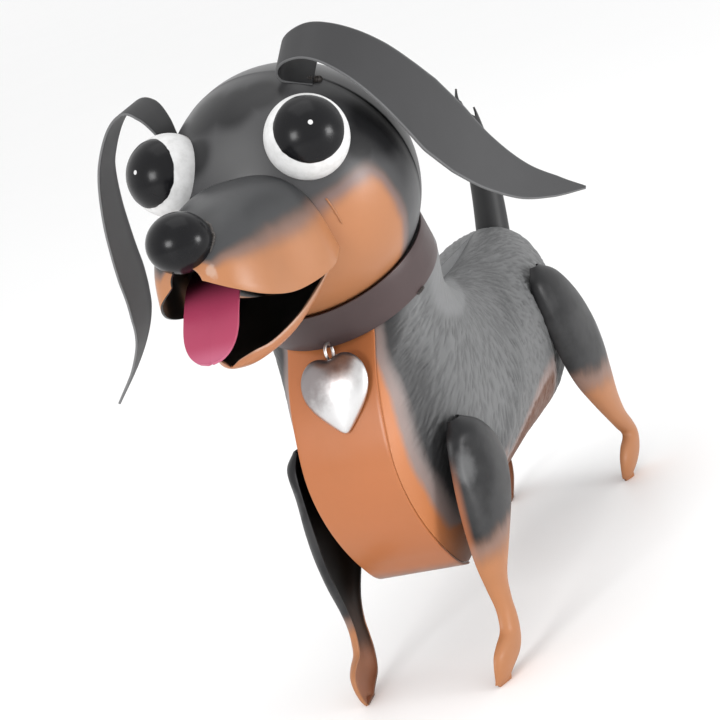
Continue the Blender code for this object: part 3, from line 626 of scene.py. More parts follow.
class Palette:
    """All the finishes of the dog."""

    airbrushed = (((-0.22, -0.67, 0.71), 0.36), ((0.04, -0.70, 0.71), 0.34),
                  ((0.24, -0.62, 0.75), 0.28), ((-0.30, -0.86, 0.42), 0.26),
                  ((0.92, -0.24, 0.30), 0.42), ((0.86, -0.46, 0.22), 0.24),
                  ((-0.90, -0.30, 0.30), 0.42))

    def __init__(self) -> None:
        self.head = self.make_head()
        self.coat = self.make_coat()
        self.legs = {"front": self.make_leg("front", 0.175, 0.14),
                     "hind": self.make_leg("hind", 0.80, 0.24)}
        self.leg_inside = self.make_leg_inside()
        self.snout = self.make_snout()
        self.mouth = self.make_plain("mouth_black", SOOT, Lacquer(0.3, 0.08))
        self.jaw = self.make_jaw()
        self.band = self.make_band()
        self.ears = {side: self.make_ear(side) for side in Side}
        self.collar = self.make_plain("collar_brown", PLUM_BROWN, Lacquer(0.42, 0.1))
        self.tongue = self.make_tongue()
        self.nose = self.make_gloss_black()
        self.silver = self.make_silver("brushed_silver", False)
        self.heart = self.make_silver("heart_silver", True)
        self.tail = self.make_plain("tail_grey", TAIL_GREY, Lacquer(0.5, 0.1))
        self.weld = self.make_plain("weld_grey", WELD_GREY, Lacquer(0.42, 0.1))
        self.tan_weld = self.make_plain("weld_orange", ORANGE, Lacquer(0.34))

    @staticmethod
    def make_plain(name: str, colour: Colour, lacquer: Lacquer) -> bpy.types.Material:
        """Makes a paint of one colour."""
        paint = Paint(name)
        deeper = tuple(c * 0.8 for c in colour[:3]) + (1.0,)
        return lacquer.lay(paint, paint.mix(paint.noise(70, 4), colour, deeper))

    @staticmethod
    def make_gloss_black() -> bpy.types.Material:
        """Makes the nose's black lacquer."""
        paint = Paint("gloss_black", Specular_IOR_Level=0.20)
        colour = paint.mix(paint.noise(160, 4), NOSE_BLACK, INK)
        return Lacquer(0.23, 0.05, ripple=0.1 * MM).lay(paint, colour)

    def make_head(self) -> bpy.types.Material:
        """Makes the head's paint: charcoal sprayed over orange cheeks, black in the mouth, with
        painted highlights between the eyes and on the crown.
        """
        paint = Paint("head_airbrush")
        place = paint.head_place()
        x, y, z = paint.split(place)
        wave = paint.noise(30, 3) - 0.5
        aside = abs(x)
        cheek = (aside * 0.5 - 0.475 - z + wave * 0.12).between(-0.13, 0.13)
        cheek = cheek * (z * -0.80 - y - 0.41 + wave * 0.16).between(-0.08, 0.16)
        dark = (y * 0.887 + z * 0.462).between(0.35, 0.80) * 0.5
        for centre, outer in self.airbrushed:
            dark = dark.most(paint.near(place, centre, outer, outer * 0.15))
        dark = (dark + wave * 0.35).between(0.08, 0.80)
        # Painted highlight: a paler grey between the eyes, above the muzzle.
        brow_highlight = paint.near(place, (0.10, -0.94, 0.30), 0.42, 0.05) * 0.75
        grey = paint.mix(brow_highlight, CHARCOAL, BROW_HIGHLIGHT_GREY)
        # Painted highlight: a paler grey on the top of the head, from the seam backwards.
        top = (y * 0.887 + z * 0.462).between(0.06, 0.16) * z.between(0.6, 0.9) * 0.6
        grey = paint.mix(top, grey, CROWN_HIGHLIGHT_GREY)
        grey = paint.mix(dark, grey, INK)
        warm = paint.mix(paint.noise(18, 2), ORANGE, CHEEK_ORANGE)
        mist = cheek.between(0.02, 0.40) * cheek.between(0.98, 0.45) * 0.45
        colour = paint.mix(cheek, grey, warm)
        colour = paint.mix(mist, colour, CHEEK_MIST)
        hollow = (abs(x / 0.56) ** 2.6 + abs((z + 0.30) / 0.43) ** 2.6).between(1.03, 0.97)
        hollow = hollow * (y * -1).between(0.2, 0.3)
        colour = paint.mix(hollow, colour, SOOT)
        return Lacquer(0.36, 0.10).lay(paint, colour)

    @staticmethod
    def make_coat() -> bpy.types.Material:
        """Makes the body's paint: grey over stamped fur, orange beside the band and below, with
        painted shade in the fur's grooves and painted highlights along the top of the back.
        """
        paint = Paint("coat_airbrush")
        around, along = paint.on_map()
        place = paint.object_place()
        press = paint.node("ShaderNodeAttribute", {"attribute_name": "press"}, output="Fac")
        streak = paint.noise(90, 4, place, (1.0, 0.8, 0.35)) - 0.5
        fine = paint.noise(420, 3, place, (1.0, 0.7, 0.35))
        edge = 1.008 - along.between(0.13, 0.25) * 0.058 - along.between(0.42, 0.5) * 0.19
        edge = edge - along.between(0.5, 0.68) * 0.12 + along.between(0.72, 0.86) * 0.45
        past = around + streak * 0.04 - edge
        tan = past.between(-0.014, 0.014)
        mist = past.between(-0.070, -0.012)
        shadow = past.between(-0.24, -0.08) * past.between(-0.025, -0.065)
        shadow = shadow * along.between(0.55, 0.38) * 0.95
        rump = along.between(0.62, 0.80) * (around - 0.55).between(-0.35, 0.0) * 0.45
        # Painted shade: the deeper a fur stroke is pressed, the darker its groove is painted.
        grey = paint.mix(press.between(0.05, 0.95), COAT_GREY, GROOVE_SHADE_GREY)
        grey = paint.mix((fine - 0.5) * 0.5 + 0.22, grey, PALE_GREY)
        # Painted highlight: the dog's right half, whose visible part is the top of the back, is
        # painted paler.
        grey = paint.mix(paint.aside().between(0.002, -0.008) * 0.35, grey, PALE_GREY)
        # Painted highlight: a paler band along the spine over the neck and the saddle.
        ridge = along.between(0.46, 0.14) * 0.70 - around
        grey = paint.mix(ridge.between(-0.02, 0.05) * 0.7, grey, PALE_GREY)
        grey = paint.mix(shadow.most(rump), grey, DARK_GREY)
        colour = paint.mix(mist * 0.8, grey, PINK_MIST)
        below = paint.mix(along.between(0.40, 0.52), BAND_ORANGE, RUST_BROWN)
        colour = paint.mix(tan, colour, below)
        return Lacquer(0.48, 0.14).lay(paint, colour, [(fine, 0.08 * MM)])

    @staticmethod
    def make_leg(pair: str, sheen_across: float, sheen_along: float) -> bpy.types.Material:
        """Makes a leg's paint: grey above, orange below with a feathered edge, and a painted
        highlight patch.

        Args:
            pair: which pair of legs it is for.
            sheen_across: where across the leg a paler painted highlight patch lies.
            sheen_along: where along the leg it lies.

        Returns:
            The material.
        """
        paint = Paint(pair + "_leg_airbrush", Specular_IOR_Level=0.28)
        across, along = paint.on_map()
        aside = paint.aside()
        streak = paint.noise(80, 4, stretch=(1.0, 1.0, 0.3)) - 0.5
        far = aside.between(0.001, -0.001) * 0.14 if pair == "front" else 0.0
        low = (along + streak * 0.055 - far).between(0.285, 0.385)
        patches = paint.noise(45, 4) + along.between(0.2, 0.0) * 0.25
        grey = paint.mix(patches.between(0.35, 0.70), LEG_GREY, INK)
        # Painted highlight: a paler patch where the light catches the leg; on the front legs it
        # lies over the pressed dent.
        wear_and_sheen = ((across - sheen_across) / 0.17) ** 2.0 + ((along - sheen_along) / 0.055) ** 2.0
        rough = (paint.noise(170, 4) - 0.5) * 0.9
        colour = paint.mix((wear_and_sheen + rough).between(1.0, 0.0) * 0.48, grey, PALE_GREY)
        if pair == "front":
            rim = across.between(0.09, 0.0) * along.between(0.10, 0.2)
            rim = rim * aside.between(-0.001, 0.001)
            colour = paint.mix(rim * 0.7, colour, DEEP_ORANGE)
        mist = low.between(0.0, 0.4) * low.between(1.0, 0.4) * 0.4
        colour = paint.mix(mist, paint.mix(low, colour, ORANGE), PINK_MIST)
        toe = across.between(0.86, 1.0) * along.between(0.55, 0.7) * 0.6
        return Lacquer(0.42, 0.12).lay(paint, paint.mix(toe, colour, DARK_GREY))

    @staticmethod
    def make_leg_inside() -> bpy.types.Material:
        """Makes the paint inside a leg: black at the top, brown and orange at the foot."""
        paint = Paint("leg_inside")
        _, along = paint.on_map()
        streak = paint.noise(60, 4) - 0.5
        low = (along + streak * 0.14).between(0.38, 0.60)
        foot = (along + streak * 0.1).between(0.56, 0.72)
        colour = paint.mix(low, LEG_SOOT, LEG_BROWN)
        return Lacquer(0.46, 0.12).lay(paint, paint.mix(foot, colour, FOOT_ORANGE))

    @staticmethod
    def make_snout() -> bpy.types.Material:
        """Makes the muzzle's paint: grey on top, orange at the lips, its paint rubbed pale below
        the nose.
        """
        paint = Paint("snout_airbrush")
        across, along = paint.on_map()
        wave = paint.noise(40, 3) - 0.5
        lip = abs(across - 0.5) * 2
        reach = lip + wave * 0.10 + along.between(0.86, 1.0) * 0.45
        orange = reach.between(0.60, 0.86)
        colour = paint.mix(orange, SNOUT_GREY, ORANGE)
        mist = orange.between(0.0, 0.45) * orange.between(1.0, 0.5) * 0.35
        colour = paint.mix(mist, colour, LIP_MIST)
        rough = paint.noise(210, 4) - 0.5
        wear_and_sheen = ((across - 0.905) / 0.075) ** 2.0 + ((along - 0.905) / 0.045) ** 2.0
        wear_and_sheen = (wear_and_sheen + rough * 3.0).between(1.1, 0.1)
        colour = paint.mix(wear_and_sheen * 0.38, colour, WORN_PATCH)
        return Lacquer(0.36, 0.10).lay(paint, colour)

    @staticmethod
    def make_jaw() -> bpy.types.Material:
        """Makes the lower jaw's orange with its paler rim."""
        paint = Paint("jaw_orange")
        across, _ = paint.on_map()
        rim = (abs(across - 0.5) * 2).between(0.86, 0.98) * 0.8
        warm = paint.mix(paint.noise(60, 4), ORANGE, JAW_ORANGE)
        return Lacquer(0.34).lay(paint, paint.mix(rim, warm, PALE_RIM))

    @staticmethod
    def make_band() -> bpy.types.Material:
        """Makes the chest band's orange, browner at its lower end."""
        paint = Paint("band_orange")
        _, along = paint.on_map()
        colour = paint.mix(paint.noise(14, 3), BAND_ORANGE, DEEP_ORANGE)
        tail = (along + (paint.noise(60, 4) - 0.5) * 0.06).between(0.90, 0.97)
        return Lacquer(0.32, 0.08).lay(paint, paint.mix(tail * 0.6, colour, RUST_BROWN))

    @staticmethod
    def make_ear(side: Side) -> bpy.types.Material:
        """Makes an ear's matt grey with its paler cut edges; the right ear's hanging part is paler,
        partly thinner paint and partly painted sheen.
        """
        paint = Paint("ear_grey_" + side.word)
        across, along = paint.on_map()
        colour = paint.mix(paint.noise(60, 4), DARK_GREY, EAR_GREY)
        if side is Side.LEFT:
            colour = paint.mix(along.between(0.55, 0.9) * 0.7, colour, EAR_TIP_GREY)
        if side is Side.RIGHT:
            # Partly thinner paint, partly painted sheen: the right ear's hanging part is paler.
            colour = paint.mix(along.between(0.34, 0.62), colour, EAR_PALE_SHEEN_GREY)
            colour = paint.mix(across.between(0.75, 1.0) * 0.5, colour, DARK_GREY)
        root = (along + (paint.noise(50, 3) - 0.5) * 0.1).between(0.19, 0.06)
        colour = paint.mix(root * 0.85, colour, INK)
        edge = (abs(across - 0.5) * 2).between(0.94, 1.0) * 0.6
        return Lacquer(0.55, 0.1).lay(paint, paint.mix(edge, colour, PALE_GREY))

    @staticmethod
    def make_tongue() -> bpy.types.Material:
        """Makes the tongue's pink, with painted shadow darkening it towards the root inside the
        mouth.
        """
        paint = Paint("tongue_pink")
        _, along = paint.on_map()
        pink = paint.mix(along.between(0.85, 1.0), TONGUE_PINK, TONGUE_PALE)
        # Painted shadow: the tongue darkens towards its root, inside the mouth.
        colour = paint.mix(along.between(0.62, 0.36), pink, TONGUE_SHADOW)
        return Lacquer(0.38, 0.08).lay(paint, colour)

    @staticmethod
    def make_silver(name: str, puffed: bool) -> bpy.types.Material:
        """Makes brushed silver-coloured metal; on the heart, a painted reflection greys it towards
        the upper left as seen from the camera.
        """
        paint = Paint(name, Metallic=1.0)
        place = paint.object_place()
        brush = paint.noise(500, 3, place, (1.0, 1.0, 0.15))
        colour = paint.mix(paint.noise(60, 4), SILVER, BRIGHT_SILVER)
        if puffed:
            # Painted reflection: the heart is greyed towards the camera's upper left, laid out with
            # the camera's own right and up directions.
            studio = Studio()
            aside, up = (np.array(way) for way in (studio.right, studio.up))
            way = (up * 0.62 - aside * 0.78) / 0.018
            middle = in_frame(Collar(Trunk()).ring_centre() + np.array([1.0, 4.0, -20.0]))
            reach = paint.vector("DOT_PRODUCT", place, way, "Value") - float(way @ middle)
            mottle = (paint.noise(260, 4) - 0.5) * 0.9
            reflection_share = (reach + mottle).between(-0.35, 0.85)
            colour = paint.mix(reflection_share * 0.9, colour, REFLECTION_GREY_SILVER)
        return paint.lay(colour, brush * 0.2 + 0.26, [(brush, 0.03 * MM)])

    @staticmethod
    def make_eye(side: Side, centre: np.ndarray, axis: np.ndarray) -> bpy.types.Material:
        """Makes an eye's white enamel with its painted black pupil and white dot, and painted shade
        at its base.

        Args:
            side: which eye it is.
            centre: the eye ball's centre in the frame's metres.
            axis: where the pupil points.

        Returns:
            The material.
        """
        paint = Paint("eye_" + side.word, Specular_IOR_Level=0.2)
        ray = paint.vector("NORMALIZE", paint.vector("SUBTRACT", paint.object_place(), centre))
        toward = paint.vector("DOT_PRODUCT", ray, axis, "Value")
        wobble = (paint.noise(130, 2) - 0.5) * (0.05 if side is Side.LEFT else 0.10)
        pupil = (toward + wobble).between(0.583, 0.593)
        dot = (toward + wobble * 0.02).between(0.9984, 0.9988)
        wear_and_sheen = paint.noise(260, 4)
        white = paint.mix(wear_and_sheen.between(0.35, 0.75), ENAMEL, WORN_ENAMEL)
        # Painted shade: the white darkens to brown towards the eye's base, where it meets the head.
        rim = (toward + (paint.noise(90, 3) - 0.5) * 0.3).between(-0.02, -0.30)
        white = paint.mix(rim * 0.8, white, EYE_BASE_SHADE)
        colour = paint.mix(pupil, white, PUPIL_BLACK)
        colour = paint.mix(dot, colour, DOT_WHITE)
        rough = (1 - pupil) * 0.22 + 0.23
        return paint.lay(colour, rough, [(pupil, 0.12 * MM), (wear_and_sheen, 0.06 * MM)])


@dataclass
class Trunk:
    """The body: two pressed halves with stamped fur, and the chest band."""

    collar_radius: float = 49.3
    collar_width: float = 20.0
    collar_drop: float = 52.2
    collar_lean: float = math.radians(20.7)
    neck_tuck: float = 15.0
    band_half: float = 24.6
    band_bow: float = 1.0
    band_first: float = 1.5
    band_last: int = 8
    middle: float = GAP / 2 / MM
    rows: int = 470
    columns: int = 196
    strokes: int = 4300
    stroke_depth: float = 0.7
    side_view: Places = (
        (128, 193, 15.5, 168, 45.6, 1.9, 1.6),
        (147, 177.5, 5, 146, 45.6, 1.85, 1.4),
        (163, 170, 0, 122, 45.8, 1.85, 1.35),
        (176, 167, 6, 96, 45.6, 1.9, 1.35),
        (188, 166.5, 22.5, 69, 45.2, 2.0, 1.4),
        (198, 167, 43, 52.5, 44.8, 2.05, 1.55),
        (209, 168, 80, 56, 44.0, 2.2, 1.8),
        (221, 169.5, 120, 59.5, 43.0, 2.4, 2.0),
        (234, 171.5, 160, 62, 41.6, 2.5, 2.1),
        (247, 172.5, 203, 61, 38.6, 2.4, 2.1),
        (261, 170.5, 243, 61, 34.2, 2.3, 2.1),
        (274, 164, 266, 68, 27.5, 2.3, 2.1),
        (284, 152, 279, 83, 19.0, 2.2, 2.0),
        (289, 136, 287.5, 108, 8.0, 2.0, 2.0),
    )

    def neck_frame(self, drop: float) -> tuple[np.ndarray, np.ndarray, np.ndarray]:
        """Gives the neck's centre at a drop below the head's, its axis and its back direction."""
        lean = self.collar_lean
        axis = np.array([0.0, math.sin(lean), -math.cos(lean)])
        back = np.array([0.0, math.cos(lean), math.sin(lean)])
        return HEAD_CENTRE + axis * drop, axis, back

    def controls(self) -> np.ndarray:
        """Lists the sections: upper y z, lower y z, half width, fullness twice, flat front."""
        chord = math.sqrt(self.collar_radius ** 2 - self.band_half ** 2)
        edge = self.collar_drop + self.collar_width / 2
        rows = []
        for drop in (edge - self.neck_tuck, edge - self.neck_tuck / 2, edge + 1):
            centre, _, back = self.neck_frame(drop)
            upper = centre + back * self.collar_radius
            lower = centre - back * (chord - (SHEET + 2 * GAP) / MM)
            rows.append((upper[1], upper[2], lower[1], lower[2], self.collar_radius, 2.0, 2.0))
        rows.extend(self.side_view)
        flat = [[self.band_half if i <= self.band_last else 0.0] for i in range(len(rows))]
        return np.hstack([np.array(rows, float), np.array(flat)])

    def sections(self, stops: np.ndarray, columns: int) -> np.ndarray:
        """Gives half sections of the body, from the spine round to the belly.

        Args:
            stops: where to read them, counted in controls.
            columns: how many places each has.

        Returns:
            Rows times columns of places on the dog's left, in millimetres.
        """
        read = smooth_curve(self.controls(), stops)
        upper = np.stack([np.zeros(len(read)), read[:, 0], read[:, 1]], 1)
        lower = np.stack([np.zeros(len(read)), read[:, 2], read[:, 3]], 1)
        half, above, below = read[:, 4], read[:, 5], read[:, 6]
        flat = np.clip(read[:, 7], 0, self.band_half)
        reach = (1 - (flat / half) ** below) ** (1 / below)
        end = (1 + reach) / 2
        turn = np.arccos(np.clip(1 - 2 * end, -1, 1))
        angle = turn[:, None] * np.linspace(0, 1, columns)[None, :]
        share = (1 - np.cos(angle)) / 2
        full = np.where(share < 0.5, above[:, None], below[:, None])
        wide = half[:, None] * np.maximum(0, 1 - np.abs(2 * share - 1) ** full) ** (1 / full)
        down = (share / end[:, None])[..., None]
        places = upper[:, None] * (1 - down) + lower[:, None] * down
        places[..., 0] += wide
        return places

    def stamp_fur(self, places: np.ndarray, seed: int) -> np.ndarray:
        """Presses fur strokes into a half, fanning back and down from the saddle.

        Args:
            places: rows times columns of places.
            seed: the order of the random draws.

        Returns:
            How deep each place is pressed, in millimetres.
        """
        draw = np.random.default_rng(seed)
        rows, columns = places.shape[:2]
        along = np.linalg.norm(np.gradient(places, axis=0), axis=2)
        around = np.linalg.norm(np.gradient(places, axis=1), axis=2)
        depth = np.zeros((rows, columns))
        for _ in range(self.strokes):
            row = int(draw.uniform(0.112, 0.985) * rows)
            column = int(draw.uniform(0.01, 0.93) * columns)
            back, over = row / rows, column / columns
            slope = math.radians(22 + 62 * over ** 0.8 * max(0.25, 1.25 - back))
            slope += draw.normal(0, 0.13)
            length, width = draw.uniform(7, 15), draw.uniform(0.55, 0.95)
            bend = draw.normal(0, 0.012)
            strength = draw.uniform(0.4, 1.0)
            step_r, step_c = max(along[row, column], 0.2), max(around[row, column], 0.15)
            reach_r = int(length / 2 / step_r) + 2
            reach_c = int(length / 2 / step_c) + 2
            r0, r1 = max(row - reach_r, 0), min(row + reach_r + 1, rows)
            c0, c1 = max(column - reach_c, 0), min(column + reach_c + 1, columns)
            a = (np.arange(r0, r1) - row)[:, None] * step_r
            b = (np.arange(c0, c1) - column)[None, :] * step_c
            run = a * math.cos(slope) + b * math.sin(slope)
            off = -a * math.sin(slope) + b * math.cos(slope) - bend * run ** 2
            taper = np.clip(1 - (2 * run / length) ** 2, 0, 1)
            stroke = strength * taper * np.exp(-(off / width) ** 2)
            depth[r0:r1, c0:c1] = np.maximum(depth[r0:r1, c0:c1], stroke)
        fade_r = np.clip((np.linspace(0, 1, rows) - 0.122) / 0.025, 0, 1)
        fade_c = np.clip(np.linspace(0, 1, columns) / 0.02, 0, 1)
        fade_c = fade_c * np.clip((0.95 - np.linspace(0, 1, columns)) / 0.12, 0, 1)
        ridge = 0.70 * eased(np.clip((0.46 - np.linspace(0, 1, rows)) / 0.32, 0, 1))
        saddle = np.clip((ridge[:, None] - np.linspace(0, 1, columns)[None, :]) / 0.07 + 0.5, 0, 1)
        return depth * fade_r[:, None] * fade_c[None, :] * (1 - 0.65 * saddle) * self.stroke_depth

    def build_half(self, side: Side, palette: Palette) -> bpy.types.Object:
        """Builds one pressed half and closes it along the middle."""
        last = len(self.controls()) - 1
        places = self.sections(np.linspace(0, last, self.rows), self.columns)
        normal = facing(places)
        if normal[self.rows // 2, self.columns // 2, 0] < 0:
            normal = -normal
        depth = self.stamp_fur(places, FUR_SEED + side.value)
        places = places - normal * depth[..., None]
        places[..., 0] = np.maximum(places[..., 0], self.middle)
        places[:, 0, 0] = self.middle
        closing = places[:, -1:, :].copy()
        closing[..., 0] = self.middle
        places = np.concatenate([places, closing], axis=1)
        places = np.concatenate([places[:1], places, places[-1:]], axis=0)
        places[[0, -1], :, 0] = self.middle
        places[..., 0] *= side.value
        press = np.pad(depth / self.stroke_depth, ((1, 1), (0, 1)))
        thing = Bench.grid("coat_" + side.word, places, side is Side.LEFT, press)
        thing.data.materials.append(palette.coat)
        self.close_middle(thing)
        Bench.weld(thing)
        return Bench.finish(thing, "fur_grey", ["body_" + side.word], 60)

    @staticmethod
    def close_middle(thing: bpy.types.Object) -> None:
        """Closes a half's two ends and its flat inner face."""
        with Bench.editing(thing, "DESELECT"):
            bpy.ops.mesh.select_non_manifold(extend=False, use_boundary=True)
            bpy.ops.mesh.fill(use_beauty=False)
            bpy.ops.mesh.select_all(action="SELECT")
            bpy.ops.mesh.normals_make_consistent(inside=False)

    def build_band(self, palette: Palette) -> bpy.types.Object:
        """Builds the orange band from the collar down under the belly."""
        stops = np.linspace(self.band_first, self.band_last, 110)
        edge = self.sections(stops, 24)[:, -1]
        run = np.gradient(edge, axis=0)
        out = np.stack([np.zeros(len(run)), run[:, 2], -run[:, 1]], 1)
        out /= np.linalg.norm(out, axis=1, keepdims=True)
        share = np.linspace(-1, 1, 27)
        bow = self.band_bow * np.maximum(
            0, 1 - (stops - self.band_first) * 2 / 7) ** 2
        lift = (GAP + SHEET / 2) / MM + bow[:, None] * (1 - share[None, :] ** 2)
        places = np.zeros((len(stops), len(share), 3))
        places[..., 0] = share[None, :] * self.band_half
        places[..., 1:] = edge[:, None, 1:]
        places += out[:, None, :] * lift[..., None]
        return Bench.sheet("chest_sheet", places, [palette.band], "tan_orange", "chest_band")

    def build(self, palette: Palette) -> None:
        """Builds the body."""
        for side in Side:
            self.build_half(side, palette)
        self.build_band(palette)


@dataclass
class Head:
    """The head's ball of two bowls, with the eyes and the nose on it."""

    seam_back: float = 7.1
    seam_lean: float = math.radians(27.5)
    segments: int = 128
    nose_radius: float = 14.5
    eye_radius: float = 20.3
    eye_place: Sequence[float] = (38.0, -48.3, 21.5)
    gazes: Sequence[tuple[Side, float, float]] = ((Side.LEFT, 35.0, 14.0), (Side.RIGHT, 17.0, 13.0))
    pupil_reach: float = math.radians(54.0)
    pupil_lift: float = 1.2
    cheek_line: Places = ((0.622, -0.768, -0.13), (0.634, -0.758, -0.154),
                          (0.648, -0.715, -0.25), (0.656, -0.673, -0.343))
    ear_line: Places = ((0.52, -0.37, 0.77), (0.555, -0.345, 0.757), (0.585, -0.315, 0.748),
                        (0.60, -0.27, 0.75))

    def build_bowl(self, front: bool, palette: Palette) -> bpy.types.Object:
        """Builds one bowl, cut at the seam with a lip along it."""
        across = np.array([0.0, math.cos(self.seam_lean), math.sin(self.seam_lean)])
        normal = Vector(turned(across, -HEAD_PITCH, 0))
        turn = normal.to_track_quat("Z", "Y").to_matrix().to_4x4()
        name = "bowl_front" if front else "bowl_back"
        thing = Bench.ball(name, HEAD_CENTRE, HEAD_RADIUS, self.segments, turn)
        centre = Vector(in_frame(HEAD_CENTRE))
        edge = self.seam_back * MM + (-GAP / 2 if front else GAP / 2)
        with Bench.editing(thing):
            bpy.ops.mesh.bisect(plane_co=centre + normal * edge, plane_no=normal, use_fill=True,
                                clear_outer=front, clear_inner=not front)
        side = -1 if front else 1
        for step in (0.7, 1.6):
            with Bench.editing(thing):
                bpy.ops.mesh.bisect(plane_co=centre + normal * (edge + side * step * MM),
                                    plane_no=normal)
        for vertex in thing.data.vertices:
            offset = vertex.co - centre
            away = abs(offset.dot(normal) - edge)
            radial = offset.length
            if radial > HEAD_RADIUS * MM * 0.99 and away < 1.2 * MM:
                lift = -0.45 * MM if away < 0.1 * MM else (0.12 if front else 0.0) * MM
                vertex.co = centre + offset * ((radial + lift) / radial)
        thing.data.materials.append(palette.head)
        return Bench.finish(thing, "head_charcoal", ["head_front" if front else "head_back"])

    def build_nose(self, palette: Palette) -> bpy.types.Object:
        """Builds the nose ball."""
        thing = Bench.ball("nose_ball", on_head(NOSE_PLACE), self.nose_radius, 64)
        middle = in_frame(on_head(NOSE_PLACE))
        for vertex in thing.data.vertices:
            offset = np.array(vertex.co) - middle
            vertex.co = Vector(middle + offset * (1.06, 1.0, 0.96))
        thing.data.materials.append(palette.nose)
        return Bench.finish(thing, "gloss_black", ["nose"])

    def build_eye(self, side: Side, out: float, up: float, palette: Palette) -> bpy.types.Object:
        """Builds one eye, its poles along its gaze and its pupil a little proud.

        Args:
            side: which eye it is.
            out: how many degrees it looks outwards.
            up: how many degrees it looks up.
            palette: the finishes.

        Returns:
            The eye.
        """
        aside, back, high = self.eye_place
        centre = on_head((side.value * aside, back, high))
        out, up = math.radians(out), math.radians(up)
        gaze = turned((side.value * math.sin(out) * math.cos(up), -math.cos(out) * math.cos(up),
                       math.sin(up)), -HEAD_PITCH, 0)
        turn = Vector(gaze).to_track_quat("Z", "Y").to_matrix().to_4x4()
        thing = Bench.ball("eye_dome_" + side.word, centre, self.eye_radius, 160, turn)
        middle, axis = Vector(in_frame(centre)), Vector(gaze)
        for vertex in thing.data.vertices:
            offset = vertex.co - middle
            angle = offset.angle(axis)
            wobble = 0.02 * math.sin(7 * math.atan2(offset.x, offset.z) + side.value)
            inside = min(max((self.pupil_reach + wobble - angle) / 0.05, 0.0), 1.0)
            dome = math.cos(min(angle / self.pupil_reach, 1.0) * math.pi / 2)
            lift = (0.35 * inside + self.pupil_lift * dome) * MM
            vertex.co = middle + offset * (1 + lift / offset.length)
        thing.data.materials.append(palette.make_eye(side, in_frame(centre), gaze))
        return Bench.finish(thing, "eye_white", ["eye_" + side.word])

    def build(self, palette: Palette) -> None:
        """Builds the head."""
        self.build_bowl(True, palette)
        self.build_bowl(False, palette)
        self.build_nose(palette)
        for name, line, thick, material in (
                ("cheek_weld", self.cheek_line, 0.45, palette.tan_weld),
                ("ear_weld", self.ear_line, 1.5, palette.weld)):
            way = np.array(line, float)
            way *= (HEAD_RADIUS + 0.3 * thick) / np.linalg.norm(way, axis=1, keepdims=True)
            Bench.bead(name, on_head(way), thick, material, "head_charcoal")
        for side, out, up in self.gazes:
            self.build_eye(side, out, up, palette)


